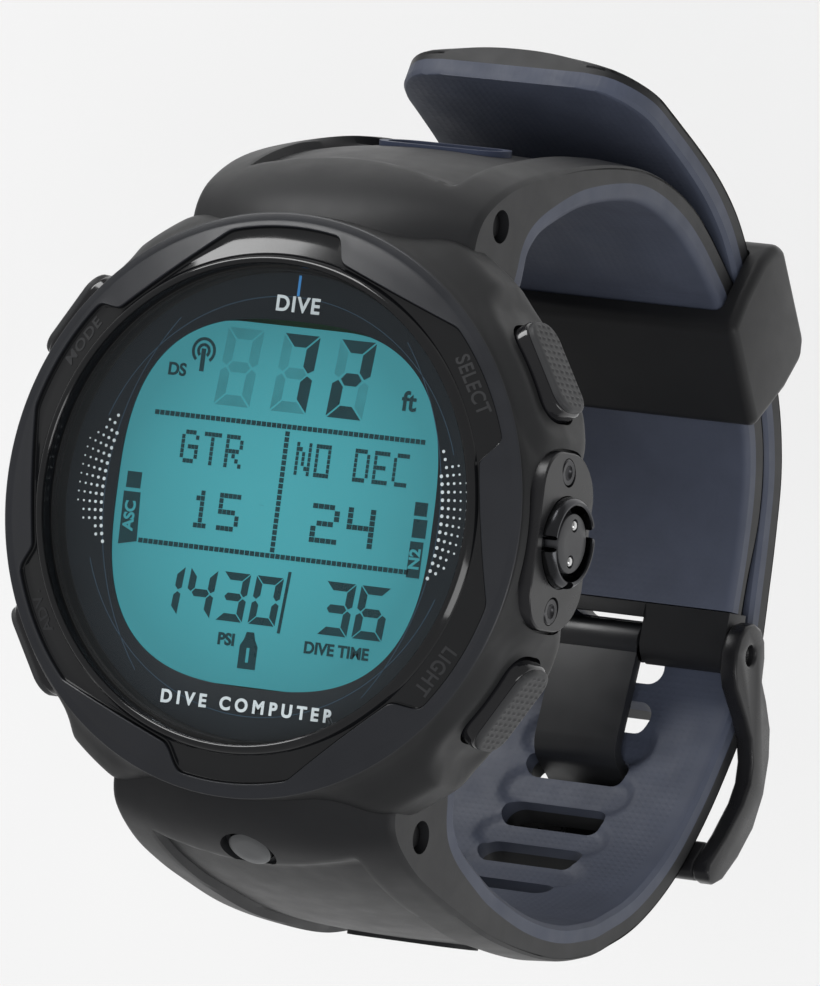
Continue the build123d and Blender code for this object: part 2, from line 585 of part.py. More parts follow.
# --- buckle -------------------------------------------------------------------------------
# side views: the frame's arms follow the strap's curve down to the crossbar
ARM = [(-7.0, -52.5), (-10.2, -53.4), (-13.4, -56.6), (-17.2, -59.0), (-20.6, -58.5), (-24.6, -55.3),
       (-27.7, -52.4), (-28.8, -52.8), (-29.2, -54.0), (-28.6, -55.8), (-26.4, -58.4), (-23.4, -60.9),
       (-20.0, -62.3), (-16.0, -62.3), (-12.0, -60.9), (-9.2, -58.9), (-7.0, -58.7)]
ARM_EYE_RADIUS = 3.1
CROSSBAR = [(-25.2, -54.8), (-27.7, -52.5), (-28.8, -52.8), (-29.2, -54.0), (-28.6, -55.6), (-26.6, -57.2),
            (-25.5, -56.4)]
TONGUE_LINE = [(-7.4, -54.8), (-18.2, -52.5), (-21.0, -57.2), (-24.4, -59.6), (-27.4, -58.7), (-30.8, -55.9)]


def make_buckle():
    arms = side_prism(ARM, FRAME_OUTER_HALF) + cross_rod(BUCKLE_PIN, ARM_EYE_RADIUS, FRAME_OUTER_HALF)
    arms -= Pos(0, -20, -57) * Box(2 * FRAME_INNER_HALF, 40, 20)
    frame = arms + side_prism(CROSSBAR, FRAME_OUTER_HALF)
    frame -= cross_rod(BUCKLE_PIN, BUCKLE_BORE, FRAME_INNER_HALF + 1.2)
    keep("buckle_frame", frame)
    keep("buckle_pin", cross_rod(BUCKLE_PIN, BUCKLE_PIN_RADIUS, FRAME_INNER_HALF + 1.0))
    line = Polyline([(0, y, z) for y, z in TONGUE_LINE])
    strip = make_face(offset(line, TONGUE_THICK / 2, side=Side.BOTH))
    tongue = extrude(strip, TONGUE_HALF, dir=(1, 0, 0), both=True)
    tongue += cross_rod(BUCKLE_PIN, KNUCKLE_RADIUS - 0.1, TONGUE_HALF)
    keep("buckle_tongue", tongue - cross_rod(BUCKLE_PIN, BUCKLE_BORE, 20))


make_case()
make_bezel()
make_dial()
make_electronics()
make_buttons()
make_port()
make_contact_and_grille()
make_hatch()
make_straps()
make_keeper()
make_buckle()

os.makedirs("parts", exist_ok=True)
for node, shape in NODES.items():
    export_step(shape, f"parts/{node}.step")
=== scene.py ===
import bpy
import bmesh
import json
import math
import numpy as np
from mathutils import Matrix, Vector


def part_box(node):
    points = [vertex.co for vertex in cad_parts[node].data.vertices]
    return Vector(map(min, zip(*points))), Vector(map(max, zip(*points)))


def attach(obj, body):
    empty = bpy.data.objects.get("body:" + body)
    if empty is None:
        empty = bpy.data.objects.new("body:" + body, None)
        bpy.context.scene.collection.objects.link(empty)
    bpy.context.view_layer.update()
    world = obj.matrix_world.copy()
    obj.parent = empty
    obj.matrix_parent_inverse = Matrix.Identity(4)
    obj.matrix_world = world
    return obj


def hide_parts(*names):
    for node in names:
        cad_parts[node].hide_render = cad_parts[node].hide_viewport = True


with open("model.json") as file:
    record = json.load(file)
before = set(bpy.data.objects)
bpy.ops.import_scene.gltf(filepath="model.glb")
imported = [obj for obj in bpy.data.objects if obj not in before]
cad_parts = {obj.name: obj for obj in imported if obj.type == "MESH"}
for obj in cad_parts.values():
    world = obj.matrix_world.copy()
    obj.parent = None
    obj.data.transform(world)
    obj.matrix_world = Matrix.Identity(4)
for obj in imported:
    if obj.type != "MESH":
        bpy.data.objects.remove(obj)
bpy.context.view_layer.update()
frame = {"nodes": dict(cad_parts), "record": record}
MM = 0.001
CASE = "case"

# --- sizes in millimetres, from the frame where it has them -----------------------------------


def box_mm(node):
    """A CAD node's lowest and highest corner, in millimetres."""
    low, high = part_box(node)
    return np.array(low) / MM, np.array(high) / MM


BEZEL_R = box_mm("bezel_ring")[1][0]
BEZEL_BASE, BEZEL_TOP = box_mm("bezel_ring")[0][2], box_mm("bezel_ring")[1][2]
CRYSTAL_R, CRYSTAL_TOP = box_mm("crystal")[1][0], box_mm("crystal")[1][2]
MASK_TOP = box_mm("dial_mask")[1][2]
LCD_TOP = box_mm("lcd_panel")[1][2]
STRAP_END_HALF = box_mm("strap_short_outer")[1][0]
STRAP_HALF = 13.8
LINER = 1.7
SHORT_THICK = 3.5
LONG_THICK = 3.4
BUTTON_NAMES = ("select", "light", "mode", "advance")
BUTTON_PLACES = {name: sum(box_mm(f"{name}_pad")) / 2 for name in BUTTON_NAMES}
BUTTON_AZIMUTHS = {name: math.degrees(math.atan2(y, x)) for name, (x, y, _) in BUTTON_PLACES.items()}
PAD_HALF = 0.35
BUTTON_Z = BUTTON_PLACES["select"][2]
BUTTON_FACE = math.hypot(*BUTTON_PLACES["select"][:2]) + PAD_HALF
PORT_Z = sum(box_mm("port_ring")[i][2] for i in (0, 1)) / 2
PORT_FACE = box_mm("port_ring")[1][0]
X, Y, Z = np.eye(3)

# --- node materials --------------------------------------------------------------------------


class Look:
    """A Principled material built up from a few procedural layers."""

    def __init__(self, name, color, rough, metallic=0.0, coat=0.0, specular=0.5):
        self.mat = bpy.data.materials.new(name)
        self.mat.use_nodes = True
        self.nodes, self.links = self.mat.node_tree.nodes, self.mat.node_tree.links
        self.shader = self.nodes["Principled BSDF"]
        self.coords = self.nodes.new("ShaderNodeTexCoord")
        self.set("Base Color", (*color, 1))
        self.set("Roughness", rough)
        self.set("Metallic", metallic)
        self.set("Coat Weight", coat)
        self.set("Coat Roughness", 0.08)
        self.set("Specular IOR Level", specular)
        self.color, self.rough, self.height = color, rough, None

    def set(self, socket, value):
        self.shader.inputs[socket].default_value = value

    def noise(self, size_mm, detail=3.0):
        """A noise socket whose features are about size_mm across."""
        mapping = self.nodes.new("ShaderNodeMapping")
        mapping.inputs["Scale"].default_value = [1 / (size_mm * MM)] * 3
        noise = self.nodes.new("ShaderNodeTexNoise")
        noise.inputs["Scale"].default_value = 1.0
        noise.inputs["Detail"].default_value = detail
        self.links.new(self.coords.outputs["Object"], mapping.inputs["Vector"])
        self.links.new(mapping.outputs["Vector"], noise.inputs["Vector"])
        return noise.outputs["Fac"]

    def spread(self, source, low, high):
        """source from 0.3..0.7 spread over low..high."""
        node = self.nodes.new("ShaderNodeMapRange")
        for key, value in zip(("From Min", "From Max", "To Min", "To Max"), (0.3, 0.7, low, high)):
            node.inputs[key].default_value = value
        self.links.new(source, node.inputs["Value"])
        return node.outputs["Result"]

    def mottle(self, size_mm, amount):
        """The colour varies by a share of itself."""
        mix = self.nodes.new("ShaderNodeMix")
        mix.data_type = "RGBA"
        mix.inputs["A"].default_value = [c * (1 - amount) for c in self.color] + [1]
        mix.inputs["B"].default_value = [min(1, c * (1 + amount)) for c in self.color] + [1]
        self.links.new(self.spread(self.noise(size_mm), 0, 1), mix.inputs["Factor"])
        self.links.new(mix.outputs["Result"], self.shader.inputs["Base Color"])
        return self

    def smudge(self, size_mm, amount):
        """The roughness varies by amount each way."""
        out = self.spread(self.noise(size_mm, 4.0), self.rough - amount, self.rough + amount)
        self.links.new(out, self.shader.inputs["Roughness"])
        return self

    def grain(self, size_mm, strength):
        """A fine surface texture by bump."""
        self.bump(self.noise(size_mm, 2.0), strength, 0.02)
        return self

    def bump(self, source, strength, depth_mm):
        """One more layer of relief over those already there."""
        node = self.nodes.new("ShaderNodeBump")
        node.inputs["Strength"].default_value = strength
        node.inputs["Distance"].default_value = depth_mm * MM
        self.links.new(source, node.inputs["Height"])
        if self.height is not None:
            self.links.new(self.height, node.inputs["Normal"])
        self.height = node.outputs["Normal"]
        self.links.new(self.height, self.shader.inputs["Normal"])

    def math(self, operation, first, second=None):
        """The result of a math node on sockets or numbers."""
        node = self.nodes.new("ShaderNodeMath")
        node.operation = operation
        for index, value in enumerate((first, second)):
            if isinstance(value, (int, float)):
                node.inputs[index].default_value = value
            elif value is not None:
                self.links.new(value, node.inputs[index])
        return node.outputs[0]


def matte_plastic(name, color, rough):
    return Look(name, color, rough, specular=0.38).mottle(6.0, 0.12).smudge(4.0, 0.07).grain(0.12, 0.35).mat


def satin_plastic(name, color, rough, specular, spot_mm, smudge, grain):
    return Look(name, color, rough, specular=specular).mottle(spot_mm, 0.1).smudge(*smudge).grain(*grain).mat


def gloss_plastic(name, color):
    return Look(name, color, 0.12, coat=0.3).mottle(9.0, 0.15).smudge(5.0, 0.05).grain(2.5, 0.05).mat


def rubber(name, color, rough):
    return Look(name, color, rough, specular=0.32).mottle(3.0, 0.05).smudge(2.5, 0.03).grain(0.10, 0.4).mat


def metal(name, color, rough):
    return Look(name, color, rough, metallic=1.0).mottle(3.0, 0.08).smudge(1.5, 0.08).grain(0.08, 0.12).mat


def crystal_glass():
    """Clear glass that lets light through straight, with a surface reflection."""
    mat = bpy.data.materials.new("crystal_glass")
    mat.use_nodes = True
    nodes, links = mat.node_tree.nodes, mat.node_tree.links
    nodes.remove(nodes["Principled BSDF"])
    clear = nodes.new("ShaderNodeBsdfTransparent")
    clear.inputs["Color"].default_value = (0.93, 0.96, 0.97, 1)
    shine = nodes.new("ShaderNodeBsdfGlossy")
    shine.inputs["Roughness"].default_value = 0.03
    fresnel = nodes.new("ShaderNodeFresnel")
    fresnel.inputs["IOR"].default_value = 1.38
    mix = nodes.new("ShaderNodeMixShader")
    links.new(fresnel.outputs["Fac"], mix.inputs["Fac"])
    links.new(clear.outputs["BSDF"], mix.inputs[1])
    links.new(shine.outputs["BSDF"], mix.inputs[2])
    links.new(mix.outputs["Shader"], nodes["Material Output"].inputs["Surface"])
    return mat


def lcd_painted_glow():
    """A teal display cell that glows as painted light, brighter in the middle as a painted pool of light."""
    look = Look("lcd_painted_glow", (0.02, 0.10, 0.11), 0.25)
    split = look.nodes.new("ShaderNodeSeparateXYZ")
    look.links.new(look.coords.outputs["Object"], split.inputs["Vector"])
    across = look.math("DIVIDE", split.outputs["X"], 17.5 * MM)
    along = look.math("DIVIDE", split.outputs["Y"], 18.5 * MM)
    reach = look.math("ADD", look.math("MULTIPLY", across, across), look.math("MULTIPLY", along, along))
    # painted light: the emission ramp is brightest in the middle and dims towards the edges
    ramp = look.nodes.new("ShaderNodeValToRGB")
    ramp.color_ramp.elements[0].color = (0.046, 0.262, 0.295, 1)
    ramp.color_ramp.elements[1].color = (0.024, 0.150, 0.172, 1)
    ramp.color_ramp.elements[1].position = 0.95
    uneven = look.math("MULTIPLY", look.noise(5.0), 0.15)
    look.links.new(look.math("ADD", reach, uneven), ramp.inputs["Fac"])
    look.links.new(ramp.outputs["Color"], look.shader.inputs["Emission Color"])
    look.set("Emission Strength", 1.0)
    return look.mat


UV_MM = 100
WEAVE_PITCH, WEAVE_HALF = 1.5, 12.2


def strap_weave(name, color):
    """Silk-matte elastomer with a fine diamond pattern on the middle of its inner face."""
    look = Look(name, color, 0.58, specular=0.4).mottle(4.0, 0.08).smudge(3.0, 0.06)
    split = look.nodes.new("ShaderNodeSeparateXYZ")
    look.links.new(look.coords.outputs["UV"], split.inputs["Vector"])
    across, along = split.outputs["X"], split.outputs["Y"]
    turns = 2 * math.pi * UV_MM / WEAVE_PITCH
    first = look.math("SINE", look.math("MULTIPLY", look.math("ADD", across, along), turns))
    second = look.math("SINE", look.math("MULTIPLY", look.math("SUBTRACT", across, along), turns))
    dots = look.math("MAXIMUM", look.math("MULTIPLY", first, second), 0.0)
    middle = look.math("LESS_THAN", look.math("ABSOLUTE", across), WEAVE_HALF / UV_MM)
    look.bump(look.math("MULTIPLY", dots, middle), 0.4, 0.04)
    look.grain(0.10, 0.25)
    return look.mat


MATTE = {
    "case_black": ((0.0115, 0.0118, 0.0125), 0.50), "engraved": ((0.022, 0.0225, 0.024), 0.55),
    "print_white": ((0.62, 0.64, 0.65), 0.5), "print_blue": ((0.05, 0.22, 0.50), 0.5),
    "print_dim": ((0.028, 0.055, 0.085), 0.5), "port_insulator": ((0.03, 0.0305, 0.033), 0.4),
    "hatch_black": ((0.022, 0.023, 0.025), 0.45), "board": ((0.02, 0.12, 0.045), 0.4),
    "chip_black": ((0.015, 0.015, 0.016), 0.5), "frame_grey": ((0.12, 0.125, 0.13), 0.55),
    "light_guide": ((0.5, 0.65, 0.65), 0.3),
}
SATIN = {
    "bezel_satin": ((0.0125, 0.0135, 0.0165), 0.36, 0.5, 8, (4, 0.05), (0.09, 0.2)),
    "buckle_black": ((0.008, 0.008, 0.009), 0.3, 0.35, 5, (2, 0.06), (0.1, 0.15)),
    "tongue_grey": ((0.013, 0.0135, 0.015), 0.36, 0.5, 4, (3, 0.05), (0.1, 0.12)),
    "dial_mask": ((0.007, 0.0095, 0.0125), 0.45, 0.3, 6, (4, 0.04), (0.05, 0.04)),
    "port_black": ((0.010, 0.010, 0.011), 0.3, 0.4, 5, (3, 0.05), (0.15, 0.1)),
}
GLOSS = {"bezel_gloss": (0.004, 0.0043, 0.005), "button_gloss": (0.006, 0.006, 0.007)}
RUBBER = {
    "strap_black": ((0.0105, 0.0108, 0.0118), 0.47), "inlay_blue": ((0.042, 0.052, 0.088), 0.5),
    "keeper_black": ((0.0105, 0.0107, 0.0115), 0.42), "button_rubber": ((0.030, 0.0305, 0.032), 0.5),
    "seal_rubber": ((0.02, 0.02, 0.02), 0.7),
}
METAL = {
    "port_metal": ((0.055, 0.056, 0.06), 0.22), "pin_steel": ((0.60, 0.60, 0.60), 0.22),
    "pin_dark": ((0.012, 0.012, 0.013), 0.5), "contact_silver": ((0.20, 0.205, 0.21), 0.45),
    "screw_black": ((0.05, 0.05, 0.053), 0.30), "spring_steel": ((0.5, 0.5, 0.5), 0.25),
    "battery_steel": ((0.65, 0.65, 0.63), 0.25), "contact_brass": ((0.65, 0.48, 0.20), 0.3),
}
M = {
    **{name: matte_plastic(name, *look) for name, look in MATTE.items()},
    **{name: satin_plastic(name, *look) for name, look in SATIN.items()},
    **{name: gloss_plastic(name, color) for name, color in GLOSS.items()},
    **{name: rubber(name, *look) for name, look in RUBBER.items()},
    **{name: metal(name, *look) for name, look in METAL.items()},
    "strap_blue": strap_weave("strap_blue", (0.050, 0.058, 0.084)),
    # the lcd material's emission is painted light, not a lamp
    "lcd": lcd_painted_glow(),
    "segment": Look("segment", (0.004, 0.030, 0.036), 0.3).mottle(3, 0.15).smudge(3, 0.05).mat,
    "unlit": Look("unlit", (0.036, 0.205, 0.23), 0.3).mottle(3, 0.1).mat,
    "crystal": crystal_glass(),
}

# --- mesh helpers ----------------------------------------------------------------------------


def mesh_from(name, verts, faces):
    mesh = bpy.data.meshes.new(name)
    mesh.from_pydata((np.asarray(verts, float) * MM).tolist(), [], [list(map(int, f)) for f in faces])
    return mesh


def make_piece(name, verts, faces, material, body=CASE, smooth=30.0, uv=None):
    """A mesh piece from millimetre points. Its smooth edges are those under the given angle."""
    mesh = mesh_from(name, verts, faces)
    if uv is not None:
        layer = mesh.uv_layers.new(name="UVMap")
        index = np.zeros(len(mesh.loops), int)
        mesh.loops.foreach_get("vertex_index", index)
        layer.data.foreach_set("uv", (np.asarray(uv, float)[index]).ravel())
    mesh.validate()
    piece = bpy.data.objects.new(name, mesh)
    bpy.context.scene.collection.objects.link(piece)
    piece.data.materials.append(M[material])
    fix_normals(piece)
    set_smooth(piece, smooth)
    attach(piece, body)
    return piece


def fix_normals(piece):
    """Merges doubled points and turns every face outwards."""
    bm = bmesh.new()
    bm.from_mesh(piece.data)
    bmesh.ops.remove_doubles(bm, verts=bm.verts, dist=1e-7)
    bmesh.ops.dissolve_degenerate(bm, edges=bm.edges, dist=1e-7)
    bmesh.ops.recalc_face_normals(bm, faces=bm.faces)
    bm.to_mesh(piece.data)
    bm.free()


def set_smooth(piece, angle):
    piece.data.polygons.foreach_set("use_smooth", [True] * len(piece.data.polygons))
    piece.data.set_sharp_from_angle(angle=math.radians(angle))


def soften(piece, width_mm, segments=3, angle=35.0):
    """Rounded edges by a bevel that is applied at once."""
    bevel = piece.modifiers.new("bevel", "BEVEL")
    bevel.width = width_mm * MM
    bevel.segments = segments
    bevel.limit_method = "ANGLE"
    bevel.angle_limit = math.radians(angle)
    bevel.use_clamp_overlap = True
    apply_modifiers(piece)
    set_smooth(piece, 40.0)
    return piece


def apply_modifiers(piece):
    graph = bpy.context.evaluated_depsgraph_get()
    mesh = bpy.data.meshes.new_from_object(piece.evaluated_get(graph))
    piece.modifiers.clear()
    piece.data = mesh


def carve(piece, cutters):
    """Cuts closed cutter objects out of a piece and deletes them."""
    for cutter in cutters:
        cut = piece.modifiers.new("cut", "BOOLEAN")
        cut.object = cutter
        cut.operation = "DIFFERENCE"
        cut.solver = "EXACT"
    apply_modifiers(piece)
    for cutter in cutters:
        bpy.data.objects.remove(cutter)
    set_smooth(piece, 30.0)
    return piece


def loose(verts, faces):
    """A closed helper mesh that is only used to cut."""
    piece = bpy.data.objects.new("cutter", mesh_from("cutter", verts, faces))
    bpy.context.scene.collection.objects.link(piece)
    fix_normals(piece)
    return piece


def grid_faces(rows, cols, wrap_rows=False, wrap_cols=False):
    """Quads over a grid of points, closed round either way."""
    faces = []
    for r in range(rows if wrap_rows else rows - 1):
        for c in range(cols if wrap_cols else cols - 1):
            r2, c2 = (r + 1) % rows, (c + 1) % cols
            faces.append((r * cols + c, r * cols + c2, r2 * cols + c2, r2 * cols + c))
    return faces


def rounded_rect(width, height, corner, steps=8):
    """The outline of a rounded rectangle about 0, counter-clockwise."""
    points = []
    for quarter, (sx, sy) in enumerate(((1, 1), (-1, 1), (-1, -1), (1, -1))):
        for k in range(steps + 1):
            a = math.radians(90 * quarter + 90 * k / steps)
            points.append((sx * (width / 2 - corner) + corner * math.cos(a),
                           sy * (height / 2 - corner) + corner * math.sin(a)))
    return np.array(points)


def circle(radius, count=64):
    a = np.linspace(0, 2 * np.pi, count, endpoint=False)
    return np.stack([radius * np.cos(a), radius * np.sin(a)], 1)


def stack(rings):
    """A closed solid through rings of equal count: (points, faces), capped at both ends."""
    count = len(rings[0])
    verts = np.concatenate(rings)
    faces = grid_faces(len(rings), count, wrap_cols=True)
    faces.append(tuple(range(count)))
    faces.append(tuple(range(len(verts) - count, len(verts))))
    return verts, faces


def place(outline, level, origin, across, up, out):
    """A plane outline at a level along out, in the row frame."""
    return origin + outline[:, :1] * across + outline[:, 1:2] * up + level * out


def turned(profile, count=192):
    """A closed ring turned about Z through (radius, z) points."""
    a = np.linspace(0, 2 * np.pi, count, endpoint=False)
    profile = np.array(profile, float)
    verts = np.stack([np.outer(np.cos(a), profile[:, 0]), np.outer(np.sin(a), profile[:, 0]),
                      np.repeat(profile[None, :, 1], count, 0)], 2)
    return verts.reshape(-1, 3), grid_faces(count, len(profile), True, True)


def smoothstep(x):
    x = np.clip(x, 0, 1)
    return x * x * (3 - 2 * x)


def curve_through(points, count):
    """A Catmull-Rom curve through rows, evenly spaced along the first two columns."""
    p = np.array(points, float)
    p = np.vstack([2 * p[0] - p[1], p, 2 * p[-1] - p[-2]])
    fine = []
    for i in range(1, len(p) - 2):
        t = np.linspace(0, 1, 24, endpoint=False)[:, None]
        a, b, c, d = p[i - 1], p[i], p[i + 1], p[i + 2]
        square, cube = 2 * a - 5 * b + 4 * c - d, 3 * b - a - 3 * c + d
        fine.append(0.5 * (2 * b + (c - a) * t + square * t ** 2 + cube * t ** 3))
    fine = np.vstack(fine + [p[-2:-1]])
    length = np.r_[0, np.cumsum(np.hypot(*np.diff(fine[:, :2], axis=0).T))]
    at = np.linspace(0, length[-1], count)
    return np.stack([np.interp(at, length, column) for column in fine.T], 1)


# --- case ------------------------------------------------------------------------------------


def angle_gap(theta, center):
    return (theta - center + np.pi) % (2 * np.pi) - np.pi


BARREL_Z = [0, 0.5, 1.6, 4.0, 7.0, 10.0, 12.6, 14.5, 15.1, 15.5]
BARREL_R = [22.6, 24.0, 25.5, 27.0, 27.6, 27.6, 27.3, 26.8, 26.5, 25.8]
CORNER_SWELL, LOWER_CORNER_EXTRA = 1.9, 0.7
GUARD_HALF, GUARD_DROP = (8.6, 5.6), 1.55
BOSS_HALF, BOSS_RISE = (10.5, 6.4), 0.45
CASE_POINTS = 540
RING_INNER, FLOOR_INNER, WELL_Z, FLOOR_THICK, BACK_R = 21.6, 16.0, 13.9, 2.4, 21.8
POCKET, POCKET_CORNER, POCKET_DEEP, STEM_BORE = (10.15, 5.95), 2.45, 4.0, 2.0


def case_radius(theta, z):
    """The case's outer radius at an angle and height: barrel, corners, button guards and port boss."""
    radius = np.interp(z, BARREL_Z, BARREL_R)
    from_strap = np.degrees(np.abs(np.arctan2(np.cos(theta), np.abs(np.sin(theta)))))
    corner = smoothstep((from_strap - 16) / 14) * smoothstep((60 - from_strap) / 16)
    swell = CORNER_SWELL + LOWER_CORNER_EXTRA * smoothstep(-np.sin(theta) * 3)
    radius = radius + swell * corner * smoothstep((z - 0.3) / 6) * smoothstep((14.9 - z) / 4.6)
    for azimuth in BUTTON_AZIMUTHS.values():
        side = np.abs(angle_gap(theta, math.radians(azimuth))) * 28.5 / GUARD_HALF[0]
        height = np.abs(z - BUTTON_Z + 0.4) / GUARD_HALF[1]
        bulge = 1 - smoothstep((np.hypot(side ** 1.7, height ** 1.7) - 0.62) / 0.55)
        lip = BUTTON_FACE - GUARD_DROP - 0.10 * np.maximum(z - BUTTON_Z, 0)
        radius = radius + (lip - radius) * bulge
    side = np.abs(angle_gap(theta, 0.0) * 28.0) / BOSS_HALF[0]
    height = np.abs(z - PORT_Z + 0.2) / BOSS_HALF[1]
    bulge = 1 - smoothstep((np.hypot(side ** 2, height ** 2) - 0.45) / 0.7)
    return radius + BOSS_RISE * bulge


def radial_axes(azimuth):
    """The unit vectors out from the Z axis and across it, at an azimuth in degrees."""
    a = math.radians(azimuth)
    return np.array([math.cos(a), math.sin(a), 0]), np.array([-math.sin(a), math.cos(a), 0])


def pocket_cutter(azimuth, width, height, corner, z, floor, mouth=36.0):
    """A cutter for a rounded pocket in the barrel, from its floor's radius outwards."""
    out, across = radial_axes(azimuth)
    outline = rounded_rect(width, height, corner)
    return loose(*stack([place(outline, level, z * Z, across, Z, out) for level in (floor, mouth)]))


def round_cutter(origin, direction, radius, low, high):
    """A cutter for a round hole along a direction."""
    out = np.array(direction, float) / np.linalg.norm(direction)
    across = X if abs(out[0]) < 0.9 else Y
    up = np.cross(out, across)
    return loose(*stack([place(circle(radius), level, np.array(origin), across, up, out)
                         for level in (low, high)]))


def make_case():
    theta = np.linspace(0, 2 * np.pi, CASE_POINTS, endpoint=False)
    stretches = ((0.0, 1.6, 6), (1.6, 14.5, 46), (14.5, 15.5, 8))
    levels = np.unique(np.concatenate([np.linspace(*stretch) for stretch in stretches]))
    t, z = np.meshgrid(theta, levels)
    radius = case_radius(t, z)
    radius[0] = BACK_R

    def ring(r, height):
        return np.stack([r * np.cos(theta), r * np.sin(theta), np.full(CASE_POINTS, height)], 1)

    outside = [ring(r, height) for r, height in zip(radius, levels)]
    inside = [ring(RING_INNER, levels[-1]), ring(RING_INNER, WELL_Z), ring(FLOOR_INNER, FLOOR_THICK)]
    verts = np.concatenate([ring(FLOOR_INNER, 0.0), *outside, *inside])
    faces = grid_faces(len(verts) // CASE_POINTS, CASE_POINTS, True, True)
    case = make_piece("case_shell", verts, faces, "case_black")
    cutters = [pocket_cutter(azimuth, *POCKET, POCKET_CORNER, BUTTON_Z, BUTTON_FACE - POCKET_DEEP)
               for azimuth in BUTTON_AZIMUTHS.values()]
    for azimuth in BUTTON_AZIMUTHS.values():
        out = radial_axes(azimuth)[0]
        cutters.append(round_cutter((0, 0, BUTTON_Z), out, STEM_BORE, 14.0, BUTTON_FACE - 2.0))
    cutters.append(pocket_cutter(0, 16.9, 10.5, 4.4, PORT_Z + 0.1, 26.7))
    cutters.append(pocket_cutter(180, 9.2, 4.2, 0.8, 9.0, 25.5))
    carve(case, cutters)
    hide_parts("case_body")


# --- bezel -----------------------------------------------------------------------------------
TEETH, FIRST_HOOK, HOOK_SPAN = 6, 15.0, 4.6
TOOTH_LOW, TOOTH_HIGH = 23.35, 25.5
CONE_EDGE_R, CONE_EDGE_Z, CONE_SLOPE = 26.0, 16.0, 0.4514
RECESS_DEPTH = 0.50


def tooth_radius(theta):
    """The saw-tooth boundary of the gloss recess, clockwise from a hook just after 12."""
    pitch = 360.0 / TEETH
    phase = (90 - np.degrees(theta) - FIRST_HOOK) % pitch
    chord = pitch / 2
    x = np.clip(phase, 0, chord)
    line = TOOTH_LOW * TOOTH_HIGH * math.sin(math.radians(chord))
    ramp = line / (TOOTH_LOW * np.sin(np.radians(x)) + TOOTH_HIGH * np.sin(np.radians(chord - x)))
    hook = smoothstep((phase - (pitch - HOOK_SPAN)) / HOOK_SPAN)
    radius = np.where(phase < chord, ramp, TOOTH_HIGH)
    return radius * (1 - hook) + TOOTH_LOW * hook


def cone(radius):
    """The height of the bezel's conical face."""
    return CONE_EDGE_Z + (CONE_EDGE_R - radius) * CONE_SLOPE


def make_bezel():
    count = 1440
    theta = np.linspace(0, 2 * np.pi, count, endpoint=False)
    edge = tooth_radius(theta)
    kernel = np.exp(-0.5 * (np.arange(-8, 9) / 2.6) ** 2)
    edge = np.convolve(np.r_[edge[-8:], edge, edge[:8]], kernel / kernel.sum(), "valid")

    def ring(radius, z):
        radius = np.broadcast_to(radius, theta.shape)
        return np.stack([radius * np.cos(theta), radius * np.sin(theta), np.broadcast_to(z, theta.shape)], 1)

    middle = (edge + CONE_EDGE_R) / 2
    satin = [ring(edge, cone(edge) - 0.62), ring(edge, cone(edge) - 0.10),
             ring(edge + 0.04, cone(edge) - 0.03), ring(edge + 0.12, cone(edge)), ring(middle, cone(middle)),
             ring(25.85, cone(25.85)), ring(26.0, 15.97), ring(26.15, 15.93), ring(26.7, 15.86),
             ring(26.83, 15.78), ring(BEZEL_R, BEZEL_BASE), ring(26.3, BEZEL_BASE - 0.05),
             ring(22.5, BEZEL_BASE - 0.05)]
    verts, faces = np.concatenate(satin), grid_faces(len(satin), count, True, True)
    bezel = make_piece("bezel_face", verts, faces, "bezel_satin", smooth=38)
    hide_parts("bezel_ring")

    lip = edge - 0.06

    def recess(radius, lift=0.0):
        return ring(radius, cone(radius) - RECESS_DEPTH + lift)

    gloss = [ring(21.97, 15.75), ring(21.97, 16.9), ring(22.0, 17.25), ring(22.08, 17.45), ring(22.2, 17.55),
             ring(22.34, BEZEL_TOP), ring(22.48, 17.55), ring(22.6, 17.47), ring(22.78, 17.25),
             ring(22.92, 17.04), recess(23.02, -0.02), recess(lip * 0.5 + 11.51), recess(lip - 0.22),
             recess(lip - 0.1, 0.06), ring(lip, cone(lip) - 0.16), ring(lip, cone(lip) - 0.75),
             ring(22.6, 15.75)]
    verts, faces = np.concatenate(gloss), grid_faces(len(gloss), count, True, True)
    insert = make_piece("bezel_gloss_face", verts, faces, "bezel_gloss", smooth=34)
    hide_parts("bezel_insert")


# --- strap -----------------------------------------------------------------------------------
# Stations down each strap: inner face (y, z), layer boundary, outer crease at the side and crown.
SHORT_TOP = [
    ((20.5, 3.0), (20.5, 5.0), (21.0, 11.0), (24.4, 14.9)),
    ((22.0, -0.6), (22.0, 1.4), (23.8, 9.4), (26.6, 14.2)),
    ((24.0, -1.5), (24.3, 0.2), (26.5, 9.1), (29.0, 12.6)),
    ((25.9, -1.7), (26.3, -0.1), (28.7, 8.0), (31.4, 9.5)),
    ((27.3, -2.7), (28.3, -1.2), (31.0, 4.7), (33.4, 5.0)),
    ((28.6, -4.3), (30.0, -3.4), (32.6, 0.8), (34.8, 0.4)),
    ((30.2, -7.8), (31.7, -7.0), (34.0, -4.6), (36.0, -5.2)),
    ((31.8, -12.6), (33.4, -12.0), (35.4, -11.6), (36.8, -12.0)),
    ((33.0, -19.6), (34.7, -19.4), (36.3, -19.4), (37.2, -19.6)),
    ((33.2, -25.0), (34.9, -25.3), (36.3, -25.8), (36.9, -26.0)),
    ((32.1, -30.9), (33.7, -31.5), (35.2, -32.2), (35.6, -32.4)),
    ((29.9, -36.5), (31.4, -37.4), (32.8, -38.4), (33.2, -38.6)),
    ((25.7, -43.3), (26.8, -44.6), (27.9, -46.0), (27.9, -46.0)),
]
SHORT_LOW = [(25.7, -43.3), (20.1, -47.8), (14.5, -52.3), (9.4, -54.1), (3.0, -54.4), (-3.4, -54.0)]
